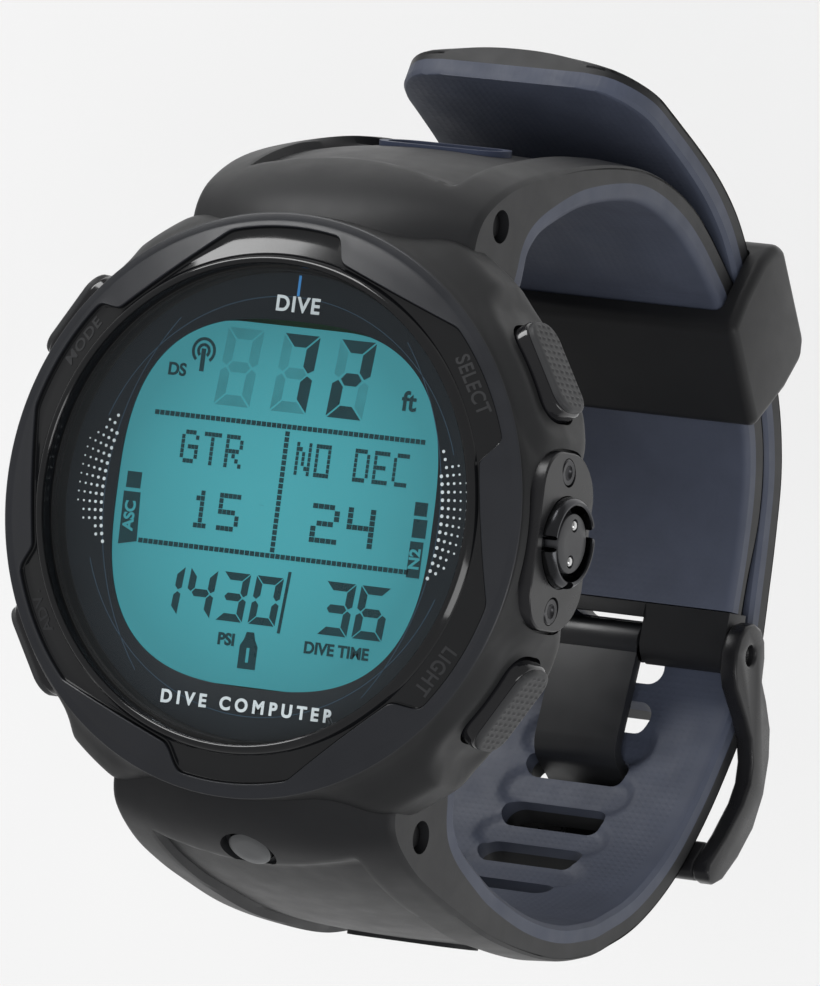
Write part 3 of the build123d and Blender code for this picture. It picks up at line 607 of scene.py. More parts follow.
LONG_TOP = [
    ((-20.5, 3.0), (-20.5, 5.0), (-19.6, 10.5), (-24.2, 14.9)),
    ((-22.0, -0.6), (-22.0, 1.4), (-22.4, 9.4), (-26.4, 14.4)),
    ((-24.0, -1.5), (-24.3, 0.2), (-25.5, 10.2), (-28.6, 13.2)),
    ((-25.9, -1.7), (-26.3, -0.1), (-28.4, 9.6), (-31.0, 10.6)),
    ((-27.4, -2.7), (-28.5, -1.2), (-31.4, 5.3), (-33.0, 6.4)),
    ((-29.0, -4.6), (-30.5, -3.8), (-33.3, 0.4), (-35.0, 1.0)),
    ((-30.7, -8.3), (-32.3, -7.6), (-35.0, -5.4), (-36.6, -5.2)),
    ((-32.2, -12.3), (-33.9, -11.9), (-36.7, -12.3), (-37.9, -12.3)),
    ((-34.1, -20.0), (-35.8, -19.8), (-37.8, -20.6), (-38.7, -20.8)),
    ((-34.7, -27.5), (-36.4, -27.5), (-38.1, -28.2), (-38.7, -28.4)),
    ((-33.9, -34.5), (-35.6, -34.9), (-37.2, -35.5), (-37.6, -35.7)),
]
LONG_LOW = [(-33.9, -34.5), (-31.3, -41.3), (-27.1, -47.2), (-22.0, -51.6), (-17.0, -54.9), (-12.2, -57.4),
            (-6.6, -58.5), (-0.5, -58.6), (5.0, -58.5), (10.9, -57.9), (16.96, -55.36), (22.55, -50.83),
            (28.15, -46.3), (31.9, -42.8), (34.9, -38.6), (37.5, -33.8), (39.9, -28.5), (42.0, -23.6),
            (43.4, -20.6)]


TAIL_THINNING, CROWN = 0.75, 0.15
CHANNEL_HALF, CHANNEL_DEPTH = 10.9, 1.0
SLOT_SIZE, SLOT_CORNER, SLOT_PITCH, GROOVE_HALF, GROOVE_DEPTH = (11.0, 3.2), 1.55, 6.5, 4.6, 0.55
TIP_CORNER, TIP_NARROWING, NO_TAIL = 6.5, 0.5, 1e9
LUG_HOLE, LUG_HOLE_R = (28.17, 4.4), 1.55


def even_stations(low, thickness, turn):
    """Stations of even thickness along an inner-face route; turn is the outer side, +1 or -1."""
    route = curve_through(low, 400)
    step = np.gradient(route, axis=0)
    step /= np.linalg.norm(step, axis=1)[:, None]
    normal = np.stack([turn * step[:, 1], -turn * step[:, 0]], 1)
    share = np.linspace(0, 1, len(route))[:, None]
    edge = thickness - TAIL_THINNING * smoothstep((share - 0.7) / 0.2)
    return np.hstack([route, route + normal * np.minimum(LINER, edge - 0.9), route + normal * edge,
                      route + normal * (thickness + CROWN)])


def strap_stations(top, low, thickness, turn, spacing=0.55):
    """All stations of a strap as rows of inner, boundary, crease and crown (y, z)."""
    upper = np.array([np.ravel(s) for s in top])
    order = [6, 7, 4, 5, 2, 3, 0, 1]  # crown first, because the curve is evened out by it
    upper = curve_through(upper[:, order], 300)[:, np.argsort(order)]
    lower = even_stations(low, thickness, turn)
    rows = np.vstack([upper[:-1], lower[2:]])
    length = np.r_[0, np.cumsum(np.linalg.norm(np.diff(rows[:, 4:6], axis=0), axis=1))]
    at = np.linspace(0, length[-1], int(length[-1] / spacing))
    rows = np.stack([np.interp(at, length, column) for column in rows.T], 1)
    kernel = np.ones(5) / 5
    smooth = np.stack([np.convolve(np.r_[[c[0]] * 2, c, [c[-1]] * 2], kernel, "valid") for c in rows.T], 1)
    return smooth, at


def half_width(z, tail):
    """Half the strap's width at a height: wider towards the case, even along the tail."""
    wide = np.interp(z, [-38, -20, -2, 12], [STRAP_HALF, 14.3, STRAP_END_HALF, STRAP_END_HALF])
    return np.where(tail, STRAP_HALF, wide)


def channel_depth(x, y, z, arc_radius, stop):
    """The shallow channel in the outer face, between an arc round the case and two side rails."""
    start = smoothstep((np.hypot(x, y) - abs(arc_radius)) / 0.45) * smoothstep((9.0 - z) / 1.5)
    side = smoothstep((CHANNEL_HALF - np.abs(x)) / 0.5)
    return CHANNEL_DEPTH * start * side * smoothstep((z - stop) / 6.0) * (y * arc_radius > 0)


def groove_depth(x, s, slots, s_offset):
    """The soft dents beside the buckle slots on the strap's inner face."""
    depth = np.zeros_like(x)
    for center in slots:
        reach = np.hypot(np.maximum(np.abs(x) - GROOVE_HALF, 0), s - center - s_offset)
        depth = np.maximum(depth, GROOVE_DEPTH * smoothstep((2.9 - reach) / 1.3))
    return depth


def outer_layer(rows, at, arc_radius, stop, tail_from, cap):
    """The black layer as one closed loft, with its crowned, channelled outer face."""
    across = np.linspace(-1, 1, 89)
    verts = []
    for i in range(len(rows)):
        inner, edge, crown = rows[i, 2:4], rows[i, 4:6], rows[i, 6:8]
        half = float(half_width(edge[1], at[i] > tail_from))
        trim = cap(at[i], half)
        t = np.abs(across)[:, None]
        rim = np.clip((1 - np.abs(across)) * half / 0.55, 0, 1)
        tuck = 0.35 * (1 - np.sqrt(1 - (1 - rim) ** 2))
        outer = crown + (edge - crown) * t ** 2.3
        outer = outer + (inner - edge) / np.linalg.norm(inner - edge) * tuck[:, None]
        x = across * trim
        depth = channel_depth(x, outer[:, 0], outer[:, 1], arc_radius, stop)
        inward = (inner - crown) / np.linalg.norm(inner - crown)
        outer = outer + inward * depth[:, None]
        side = edge + (inner - edge) * np.linspace(0.12, 1, 7)[:, None]
        under = np.linspace(1, -1, 15)[1:-1]
        ring = [np.column_stack([x, outer]),
                np.column_stack([np.full(7, trim), side]),
                np.column_stack([under * trim, np.repeat(inner[None], 13, 0)]),
                np.column_stack([np.full(7, -trim), side[::-1]])]
        verts.append(np.vstack(ring))
    return stack(verts)


def liner_layer(rows, at, tail_from, cap, slots=(), s_offset=0.0):
    """The blue layer as one closed loft with (points, faces, uv)."""
    across = np.linspace(1, -1, 81)
    verts, uv = [], []
    for i in range(len(rows)):
        inner, outer, crease = rows[i, 0:2], rows[i, 2:4], rows[i, 4:6]
        half = float(half_width(crease[1], at[i] > tail_from))
        trim = cap(at[i], half)
        x = across * trim
        inward = (inner - outer) / np.linalg.norm(inner - outer)
        rim = np.clip((trim - np.abs(x)) / 0.7, 0, 1)
        tuck = 0.5 * (1 - np.sqrt(1 - (1 - rim) ** 2))
        level = tuck + groove_depth(x, np.full_like(x, at[i]), slots, s_offset)
        face = inner - inward * level[:, None]
        side = outer + (inner - outer) * np.linspace(0, 0.6, 4)[:, None]
        under = np.linspace(-1, 1, 15)[1:-1]
        verts.append(np.vstack([np.column_stack([x, face]),
                                np.column_stack([np.full(4, -trim), side[::-1]]),
                                np.column_stack([under * trim, np.repeat(outer[None], 13, 0)]),
                                np.column_stack([np.full(4, trim), side])]))
        v = np.full(len(verts[-1]), at[i])
        uv.append(np.column_stack([verts[-1][:, 0], v]) / UV_MM)
    points, faces = stack(verts)
    return points, faces, np.vstack(uv)


def no_cap(_at, half):
    return half


def tip_cap(length):
    """The straps' rounded free end: the half-width shrinks over the last few millimetres."""
    def cap(at, half):
        left = length - at
        narrow = half - TIP_NARROWING * float(smoothstep(1 - left / 22))
        if left >= TIP_CORNER:
            return narrow
        return narrow - TIP_CORNER + math.sqrt(max(TIP_CORNER ** 2 - (TIP_CORNER - left) ** 2, 0.01))
    return cap


def slot_cutters(rows, at, positions):
    """Cutters for the buckle slots, square to the strap at each position along it."""
    cutters = []
    for position in positions:
        i = int(np.argmin(np.abs(at - position)))
        inner, outer = rows[i, 0:2], rows[i, 4:6]
        out = np.array([0, *(outer - inner)]) / np.linalg.norm(outer - inner)
        along = np.cross(out, X)
        outline = rounded_rect(*SLOT_SIZE, SLOT_CORNER)
        middle = np.array([0, *((inner + outer) / 2)])
        rings = [place(outline, level, middle, X, along, out) for level in (-4, 4)]
        cutters.append(loose(*stack(rings)))
    return cutters


def lug_holes(side):
    """Cutters for the pin's holes in both edges of a strap, on the 12 side (1) or the 6 side (-1)."""
    return [round_cutter((x, side * LUG_HOLE[0], LUG_HOLE[1]), X, LUG_HOLE_R, -1.2, 1.2)
            for x in (STRAP_END_HALF, -STRAP_END_HALF)]


def make_short_strap():
    rows, at = strap_stations(SHORT_TOP, SHORT_LOW, SHORT_THICK, -1)
    layer = outer_layer(rows, at, 33.0, -44, NO_TAIL, no_cap)
    black = make_piece("strap_short_black", *layer, "strap_black", smooth=50)
    carve(black, lug_holes(1))
    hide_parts("strap_short_outer")
    points, faces, uv = liner_layer(rows, at, NO_TAIL, no_cap)
    blue = make_piece("strap_short_blue", points, faces, "strap_blue", smooth=50, uv=uv)
    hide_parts("strap_short_liner")


def make_long_strap():
    rows, at = strap_stations(LONG_TOP, LONG_LOW, LONG_THICK, 1)
    tongue = int(np.argmin(np.hypot(rows[:, 0] + 19.6, rows[:, 1] + 53.2)))
    slots = [at[tongue] + SLOT_PITCH * step for step in range(-3, 13)]
    slots = [position for position in slots if position < at[-1] - 13]
    tail = at[tongue] + 20
    cap = tip_cap(at[-1] + 0.05)
    points, faces, uv = liner_layer(rows, at, tail, cap, slots[:4], 3.2)
    blue = make_piece("strap_long_blue", points, faces, "strap_blue", smooth=50, uv=uv)
    layer = outer_layer(rows, at, -32.4, -34, tail, cap)
    black = make_piece("strap_long_black", *layer, "strap_black", smooth=50)
    contact = [round_cutter(CONTACT, CONTACT_OUT, *size) for size in ((2.75, -1.0, 4), (2.3, -2.2, 0))]
    carve(black, slot_cutters(rows, at, slots) + lug_holes(-1) + contact)
    carve(blue, slot_cutters(rows, at, slots))
    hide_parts("strap_long_outer")
    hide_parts("strap_long_liner")


# --- water contact ---------------------------------------------------------------------------
CONTACT = (0.0, -31.45, 9.45)
CONTACT_OUT = (0.0, -0.80, 0.60)


def make_contact():
    out = np.array(CONTACT_OUT)
    up = np.cross(out, X)
    sizes = [(-2.0, 2.15), (-0.45, 2.15), (-0.22, 2.08), (-0.12, 1.9), (-0.08, 1.2), (-0.06, 0.5)]
    rings = [place(circle(r), level, np.array(CONTACT), X, up, out) for level, r in sizes]
    piece = make_piece("water_contact_disc", *stack(rings), "contact_silver", smooth=40)
    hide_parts("water_contact")


# --- buttons ---------------------------------------------------------------------------------


CAP_SIZE, CAP_CORNER, CAP_DROP = (9.6, 5.4), 2.2, 0.74
PAD_INSET, PAD_CORNER, PAD_ROWS, PAD_COLS = 0.22, 1.95, 97, 57
KNURL_PITCH, KNURL_RISE = (0.66, 0.98), 0.13


def pad_grid():
    """The pad's face as a grid: across, up, and how far its domed, knurled face lies under the cap's."""
    u, v = np.meshgrid(np.linspace(-1, 1, PAD_ROWS), np.linspace(-1, 1, PAD_COLS), indexing="ij")
    half_w, half_h = CAP_SIZE[0] / 2 - PAD_INSET, CAP_SIZE[1] / 2 - PAD_INSET
    x, z = u * half_w, v * half_h
    qx, qz = np.abs(x) - (half_w - PAD_CORNER), np.abs(z) - (half_h - PAD_CORNER)
    reach = np.hypot(qx, qz)
    outside = (qx > 0) & (qz > 0) & (reach > PAD_CORNER)
    scale = np.where(outside, PAD_CORNER / np.maximum(reach, 1e-6), 1)
    x = np.where(outside, np.sign(x) * (half_w - PAD_CORNER + qx * scale), x)
    z = np.where(outside, np.sign(z) * (half_h - PAD_CORNER + qz * scale), z)
    qx, qz = np.abs(x) - (half_w - PAD_CORNER), np.abs(z) - (half_h - PAD_CORNER)
    rim = PAD_CORNER - np.hypot(np.maximum(qx, 0), np.maximum(qz, 0))
    rim = np.minimum(rim, np.minimum(half_w - np.abs(x), half_h - np.abs(z)))
    dome = 0.32 * (1 - np.sqrt(np.clip(1 - (1 - np.clip(rim / 0.45, 0, 1)) ** 2, 0, 1)))
    bumps = np.clip(np.cos(2 * np.pi * x / KNURL_PITCH[0]), 0, 1) ** 0.7
    bumps = bumps * np.clip(np.cos(2 * np.pi * z / KNURL_PITCH[1]) + 0.35, 0, 1) ** 0.7
    return x, z, -KNURL_RISE - dome + KNURL_RISE * bumps * smoothstep((rim - 0.35) / 0.3)


def closed_grid(top, back):
    """A closed solid between two grids of points."""
    rows, cols = top.shape[:2]
    offset = rows * cols
    faces = grid_faces(rows, cols)
    faces += [tuple(offset + i for i in f[::-1]) for f in grid_faces(rows, cols)]
    border = [r * cols for r in range(rows)] + [(rows - 1) * cols + c for c in range(1, cols)]
    border += [r * cols + cols - 1 for r in range(rows - 2, -1, -1)] + [c for c in range(cols - 2, 0, -1)]
    faces += [(i, j, j + offset, i + offset) for i, j in zip(border, border[1:] + border[:1])]
    return np.vstack([top.reshape(-1, 3), back.reshape(-1, 3)]), faces


def make_button(name, azimuth):
    body = f"{name}_button"
    out, across = radial_axes(azimuth)
    origin = BUTTON_Z * Z

    rings = []
    for drop, inset in ((2.8, 0.0), (1.05, 0.0), (0.88, 0.05), (0.78, 0.16), (CAP_DROP, 0.34)):
        outline = rounded_rect(CAP_SIZE[0] - 2 * inset, CAP_SIZE[1] - 2 * inset, CAP_CORNER - inset)
        rings.append(place(outline, BUTTON_FACE - drop, origin, across, Z, out))
    cap = make_piece(f"{name}_cap_gloss", *stack(rings), "button_gloss", body, smooth=45)
    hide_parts(f"{name}_cap")

    x, z, level = pad_grid()
    flat = origin + x[..., None] * across + z[..., None] * Z
    solid = closed_grid(flat + (BUTTON_FACE + level)[..., None] * out, flat + (BUTTON_FACE - CAP_DROP) * out)
    pad = make_piece(f"{name}_pad_knurled", *solid, "button_rubber", body, smooth=60)
    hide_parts(f"{name}_pad")


# --- data port -------------------------------------------------------------------------------


SCREW_Y, PORT_PIN_Y, DIMPLE_LIFT, BARREL_BEND = 6.33, 1.65, 0.3, 62


def port_ring(profile, count, y=0.0, lift=0.0):
    """Circles about the port's axis from (radial level, radius) pairs."""
    origin = np.array([0, y, PORT_Z + lift])
    return [place(circle(r, count), level, origin, Y, Z, X) for level, r in profile]


def make_port_panel():
    def bent(width, height, corner, radius):
        """A rounded outline laid on the barrel."""
        y, z = rounded_rect(width, height, corner, 14).T
        return np.column_stack([radius - y ** 2 / (2 * BARREL_BEND), y, z + PORT_Z + 0.1])

    rings = [bent(16.4 - 2 * inset, 10.0 - 2 * inset, 4.1 - inset, radius)
             for radius, inset in ((26.9, 0.0), (27.9, 0.0), (28.02, 0.05), (28.1, 0.16))]
    rings += [bent(16.1 * share, 9.7 * share, 3.9 * share, 28.12) for share in (0.75, 0.5, 0.25)]
    panel = make_piece("port_panel_face", *stack(rings), "port_black", smooth=40)
    dimples = [round_cutter((0, y, PORT_Z + DIMPLE_LIFT), X, 1.32, 27.3, 34) for y in (SCREW_Y, -SCREW_Y)]
    carve(panel, dimples + [round_cutter((0, 0, PORT_Z), X, 4.28, 25, 34)])
    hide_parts("port_panel")


def make_port_collar():
    profile = [(26.6, 4.2), (PORT_FACE - 0.75, 4.2), (PORT_FACE - 0.35, 4.12), (PORT_FACE - 0.12, 3.95),
               (PORT_FACE, 3.78), (PORT_FACE, 3.62), (PORT_FACE - 0.1, 3.5), (PORT_FACE - 0.3, 3.45),
               (27.4, 3.45), (27.35, 2.8), (26.7, 2.8)]
    rings = port_ring(profile, 96)
    faces = grid_faces(len(rings), 96, True, True)
    collar = make_piece("port_collar", np.concatenate(rings), faces, "port_metal", smooth=40)
    notches = []
    for turn in (95, 180, 290):
        a = math.radians(turn)
        middle = np.array([PORT_FACE, 4.1 * math.cos(a), PORT_Z + 4.1 * math.sin(a)])
        notches.append(round_cutter(middle, X, 0.75, -1.3, 2))
    carve(collar, notches)
    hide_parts("port_ring")


def make_port():
    make_port_panel()
    make_port_collar()

    profile = [(27.3, 2.75), (28.7, 2.75), (28.83, 2.7), (28.9, 2.58), (28.92, 1.5)]
    disc = make_piece("port_disc_face", *stack(port_ring(profile, 64)), "port_insulator", smooth=40)
    carve(disc, [round_cutter((0, y, PORT_Z), X, 0.62, 28.3, 30) for y in (PORT_PIN_Y, -PORT_PIN_Y)])
    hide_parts("port_disc")

    profile = [(28.0, 0.5), (28.7, 0.5), (28.9, 0.42), (29.0, 0.25), (29.03, 0.08)]
    solids = [stack(port_ring(profile, 24, y)) for y in (PORT_PIN_Y, -PORT_PIN_Y)]
    pins = join_parts("port_contact_pins", solids, "pin_steel", CASE, 50)
    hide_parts("port_pins")

    profile = [(27.2, 1.24), (27.65, 1.24), (27.78, 1.12), (27.76, 0.7), (27.6, 0.6), (27.45, 0.3)]
    solids = [stack(port_ring(profile, 32, y, DIMPLE_LIFT)) for y in (SCREW_Y, -SCREW_Y)]
    screws = join_parts("port_screw_heads", solids, "screw_black", CASE, 40)
    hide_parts("port_screws")


# --- keeper and buckle -----------------------------------------------------------------------
KEEPER_MID, KEEPER_TILT = np.array([0, 20.1, -47.8]), math.radians(39)
KEEPER_ALONG = np.array([0, math.cos(KEEPER_TILT), math.sin(KEEPER_TILT)])
KEEPER_OUT = np.array([0, KEEPER_ALONG[2], -KEEPER_ALONG[1]])
KEEPER_HALF, KEEPER_PASSAGE, PASSAGE_OUT = 16.05, (28.1, 7.8), 3.65
KEEPER_VIEW = [(-5.8, -1.95), (5.8, -1.95), (7.2, 1.5), (8.4, 6.0), (8.4, 9.0), (7.0, 10.4), (-3.4, 10.4),
               (-5.0, 9.2), (-5.8, 5.0)]
BUCKLE_PIN = np.array([0, -7.0, -55.6])
ARM_INNER, ARM_OUTER, TONGUE_HALF, TONGUE_THICK, LOOP_INNER = 14.1, 15.9, 4.4, 1.3, 4.75
# Side views (y, z) of the buckle frame's arm and crossbar, the tongue's line and the strap's end loop.
ARM = [(-7.0, -52.5), (-8.8, -52.7), (-10.4, -53.5), (-13.2, -56.4), (-15.0, -58.0), (-17.2, -58.9),
       (-19.2, -58.9), (-21.2, -58.0), (-24.4, -55.4), (-27.2, -52.5), (-28.1, -52.3), (-28.9, -52.9),
       (-29.2, -54.0), (-28.6, -55.8), (-26.4, -58.4), (-23.4, -60.9), (-20.0, -62.2), (-16.4, -62.4),
       (-13.6, -61.8), (-11.0, -60.2), (-9.2, -58.8), (-7.0, -58.7), (-5.4, -58.2), (-4.3, -57.1),
       (-3.9, -55.6), (-4.3, -54.1), (-5.4, -53.0)]
CROSSBAR = [(-25.2, -54.8), (-27.2, -52.9), (-28.1, -52.6), (-28.8, -53.1), (-29.1, -54.1), (-28.6, -55.6),
            (-26.9, -57.1), (-25.9, -57.0), (-25.3, -56.0)]
TONGUE = [(-7.4, -54.8), (-18.2, -52.5), (-21.0, -57.2), (-24.4, -59.6), (-27.4, -58.7), (-30.8, -55.9)]
END_LOOP = [(-3.2, -54.0), (-3.2, -57.5), (-7.0, -57.6), (-7.9, -57.3), (-8.6, -56.7), (-9.0, -55.6),
            (-8.6, -54.5), (-7.9, -53.9), (-7.0, -53.6)]
END_ROOT = [(-3.2, -54.0), (-3.2, -57.5), (-4.5, -57.6), (-4.5, -53.6)]


def keeper_point(along, out):
    """The (y, z) of a point given along the strap and out from it at the keeper."""
    point = KEEPER_MID + along * KEEPER_ALONG + out * KEEPER_OUT
    return point[1], point[2]


def make_keeper():
    """The moulded loop round both straps, with soft edges and a thicker outer wall."""
    sleeve = side_prism([keeper_point(*p) for p in KEEPER_VIEW], -KEEPER_HALF, KEEPER_HALF)
    piece = make_piece("keeper_sleeve", *sleeve, "keeper_black", "keeper_loop")
    soften(piece, 0.95, 5, 18)
    middle = KEEPER_MID + PASSAGE_OUT * KEEPER_OUT
    rings = [place(rounded_rect(*KEEPER_PASSAGE, 0.9), level, middle, X, KEEPER_OUT, KEEPER_ALONG)
             for level in (-12, 12)]
    carve(piece, [loose(*stack(rings))])
    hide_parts("keeper")


def side_prism(outline, x0, x1):
    """A prism across the strap from a (y, z) outline."""
    outline = np.array(outline, float)
    return stack([np.column_stack([np.full(len(outline), x), outline]) for x in (x0, x1)])


def rounded_line(points, radius, steps=6):
    """A (y, z) line with its corners rounded."""
    p = np.array(points, float)
    out = [p[0]]
    for a, b, c in zip(p, p[1:], p[2:]):
        first, second = (a - b) / np.linalg.norm(a - b), (c - b) / np.linalg.norm(c - b)
        reach = min(radius, np.linalg.norm(a - b) / 2, np.linalg.norm(c - b) / 2)
        start, end = b + first * reach, b + second * reach
        for k in range(steps + 1):
            t = k / steps
            out.append((1 - t) ** 2 * start + 2 * t * (1 - t) * b + t * t * end)
    out.append(p[-1])
    return np.array(out)


def thick_line(points, thickness):
    """The outline of a (y, z) line given a thickness."""
    p = np.array(points, float)
    step = np.gradient(p, axis=0)
    step /= np.linalg.norm(step, axis=1)[:, None]
    normal = np.stack([-step[:, 1], step[:, 0]], 1)
    return np.vstack([p + normal * thickness / 2, (p - normal * thickness / 2)[::-1]])


def join_parts(name, parts, material, body, smooth=30.0):
    """Several closed solids as one piece."""
    verts, faces, start = [], [], 0
    for points, quads in parts:
        faces += [tuple(i + start for i in q) for q in quads]
        verts.append(points)
        start += len(points)
    return make_piece(name, np.vstack(verts), faces, material, body, smooth)


def make_buckle():
    frame_parts = [side_prism(ARM, ARM_INNER, ARM_OUTER), side_prism(ARM, -ARM_OUTER, -ARM_INNER),
                   side_prism(CROSSBAR, -ARM_INNER, ARM_INNER)]
    piece = join_parts("buckle_loop", frame_parts, "buckle_black", "buckle")
    bores = [round_cutter((x, *BUCKLE_PIN[1:]), X, 0.95, -0.5, 1.2) for x in (15.4, -16.1)]
    carve(piece, bores)
    soften(piece, 0.35)
    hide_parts("buckle_frame")

    plate = thick_line(rounded_line(TONGUE, 1.6), TONGUE_THICK)
    knuckle = circle(1.9, 40) + BUCKLE_PIN[1:]
    solids = [side_prism(outline, -TONGUE_HALF, TONGUE_HALF) for outline in (plate, knuckle)]
    tongue = join_parts("buckle_tongue_plate", solids, "tongue_grey", "tongue")
    soften(tongue, 0.22)
    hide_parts("buckle_tongue")

    loops = [side_prism(END_LOOP, LOOP_INNER, STRAP_HALF), side_prism(END_LOOP, -STRAP_HALF, -LOOP_INNER),
             side_prism(END_ROOT, -LOOP_INNER, LOOP_INNER)]
    piece = join_parts("strap_short_loop", loops, "strap_black", CASE)
    soften(piece, 0.3)


# --- dial ------------------------------------------------------------------------------------


def flat_piece(name, outlines, z, thickness, material):
    """Thin raised shapes on the dial from (x, y) outlines in millimetres."""
    parts = []
    for outline in outlines:
        o = np.array(outline, float)
        parts.append(stack([np.column_stack([o, np.full(len(o), level)]) for level in (z, z + thickness)]))
    return join_parts(name, parts, material, CASE)


def words(name, text, size, center, z, material, turn=0.0, spacing=1.0, bold=0.0, surface=None):
    """Lettering as one thin solid piece, flat at z or laid on a surface of revolution."""
    curve = bpy.data.curves.new(name, "FONT")
    curve.body = text
    curve.size = size * MM
    curve.align_x = "CENTER"
    curve.align_y = "CENTER"
    curve.space_character = spacing
    curve.offset = bold * MM
    curve.extrude = 0.02 * MM
    temp = bpy.data.objects.new(name, curve)
    bpy.context.scene.collection.objects.link(temp)
    bpy.context.view_layer.update()
    mesh = bpy.data.meshes.new_from_object(temp.evaluated_get(bpy.context.evaluated_depsgraph_get()))
    bpy.data.objects.remove(temp)
    co = np.zeros(len(mesh.vertices) * 3)
    mesh.vertices.foreach_get("co", co)
    co = co.reshape(-1, 3) / MM
    c, s = math.cos(math.radians(turn)), math.sin(math.radians(turn))
    x = co[:, 0] * c - co[:, 1] * s + center[0]
    y = co[:, 0] * s + co[:, 1] * c + center[1]
    height = z + co[:, 2] if surface is None else surface(np.hypot(x, y)) + co[:, 2]
    mesh.vertices.foreach_set("co", (np.column_stack([x, y, height]) * MM).ravel())
    piece = bpy.data.objects.new(name, mesh)
    bpy.context.scene.collection.objects.link(piece)
    piece.data.materials.clear()
    piece.data.materials.append(M[material])
    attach(piece, CASE)
    return piece


SEGMENTS = {"0": "abcdef", "1": "bc", "2": "abged", "3": "abgcd", "4": "fgbc", "6": "afgedc", "7": "abc",
            "8": "abcdefg"}


def digit(char, x, y, width, height, stroke, slant=0.08):
    """The lit segments of one seven-segment digit, as outlines."""
    w, h, s, g = width / 2, height / 2, stroke, stroke * 0.12
    shapes = {
        "a": [(-w + g, h), (w - g, h), (w - s - g, h - s), (-w + s + g, h - s)],
        "d": [(-w + g, -h), (w - g, -h), (w - s - g, -h + s), (-w + s + g, -h + s)],
        "g": [(-w + s * 0.6 + g, 0), (-w + s + g, s / 2), (w - s - g, s / 2), (w - s * 0.6 - g, 0),
              (w - s - g, -s / 2), (-w + s + g, -s / 2)],
        "f": [(-w, h - g), (-w + s, h - s - g), (-w + s, s / 2 + g), (-w + s / 2, g), (-w, g + s * 0.3)],
        "b": [(w, h - g), (w - s, h - s - g), (w - s, s / 2 + g), (w - s / 2, g), (w, g + s * 0.3)],
        "e": [(-w, -h + g), (-w + s, -h + s + g), (-w + s, -s / 2 - g), (-w + s / 2, -g), (-w, -g - s * 0.3)],
        "c": [(w, -h + g), (w - s, -h + s + g), (w - s, -s / 2 - g), (w - s / 2, -g), (w, -g - s * 0.3)],
    }
    return [[(x + px + slant * py, y + py) for px, py in shapes[k]] for k in SEGMENTS[char]]


def number(text, x, y, width, height, stroke, pitch):
    """A row of seven-segment digits about a middle point."""
    outlines = []
    for i, char in enumerate(text):
        outlines += digit(char, x + (i - (len(text) - 1) / 2) * pitch, y, width, height, stroke)
    return outlines


PIXELS = {"G": "01110 10001 10000 10111 10001 10001 01110", "T": "11111 00100 00100 00100 00100 00100 00100",
          "R": "11110 10001 10001 11110 10100 10010 10001", "N": "10001 11001 10101 10101 10101 10011 10001",
          "O": "11111 10001 10001 10001 10001 10001 11111", "D": "11110 10001 10001 10001 10001 10001 11110",
          "E": "11111 10000 10000 11110 10000 10000 11111", "C": "01111 10000 10000 10000 10000 10000 01111",
          "1": "00100 01100 00100 00100 00100 00100 01110", "5": "11111 10000 10000 11110 00001 00001 11110",
          "2": "11110 00001 00001 01110 10000 10000 11111", "4": "10001 10001 10001 11111 00001 00001 00001",
          " ": "00000 00000 00000 00000 00000 00000 00000"}


def pixel_text(text, x, y, cell_w, cell_h, gap=1.4):
    """Dot-matrix lettering as small squares."""
    outlines = []
    step = (5 + gap) * cell_w
    left = x - (len(text) * step - gap * cell_w) / 2
    for i, char in enumerate(text):
        for row, bits in enumerate(PIXELS[char].split()):
            for col, bit in enumerate(bits):
                if bit == "1":
                    px, py = left + i * step + col * cell_w, y + (3.5 - row) * cell_h
                    outlines.append(bar(px, py, px + cell_w * 0.88, py - cell_h * 0.88))
    return outlines


def dotted(first, last, size=0.44, pitch=0.53):
    """A row of small squares from one point to another."""
    first, last = np.array(first), np.array(last)
    count = int(np.linalg.norm(last - first) / pitch)
    spots = [first + (last - first) * k / count for k in range(count + 1)]
    return [bar(x - size / 2, y - size / 2, x + size / 2, y + size / 2) for x, y in spots]


def bar(x0, y0, x1, y1):
    """A rectangle's outline."""
    return [(x0, y0), (x1, y0), (x1, y1), (x0, y1)]


def arc_band(cx, cy, inner, outer, first, last, count):
    """The outline of an arc of a ring, from one angle in degrees to another."""
    t = np.radians(np.linspace(first, last, count))
    far = np.stack([cx + outer * np.cos(t), cy + outer * np.sin(t)], 1)
    near = np.stack([cx + inner * np.cos(t[::-1]), cy + inner * np.sin(t[::-1])], 1)
    return np.vstack([far, near])


WINDOW_HALF, WINDOW_MIDDLE, WINDOW_POWER, MASK_R = (16.6, 16.9), (0.25, 0.2), 2.85, 21.5


def make_mask():
    """The dial's mask: a disc with a rounded window, as a ring between two outlines."""
    count = 256
    a = np.linspace(0, 2 * np.pi, count, endpoint=False)
    across, up = np.cos(a), np.sin(a)
    shape = (np.abs(across) ** WINDOW_POWER + np.abs(up) ** WINDOW_POWER) ** (-1 / WINDOW_POWER)
    window = np.stack([shape * across, shape * up], 1) * WINDOW_HALF + WINDOW_MIDDLE
    rim = np.stack([across, up], 1) * MASK_R
    levels = [(window, LCD_TOP), (window, MASK_TOP - 0.05), (window * 1.004, MASK_TOP), (rim, MASK_TOP),
              (rim, LCD_TOP)]
    rings = [np.column_stack([outline, np.full(count, level)]) for outline, level in levels]
    faces = grid_faces(len(rings), count, True, True)
    mask = make_piece("dial_face", np.concatenate(rings), faces, "dial_mask", smooth=40)
    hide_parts("dial_mask")


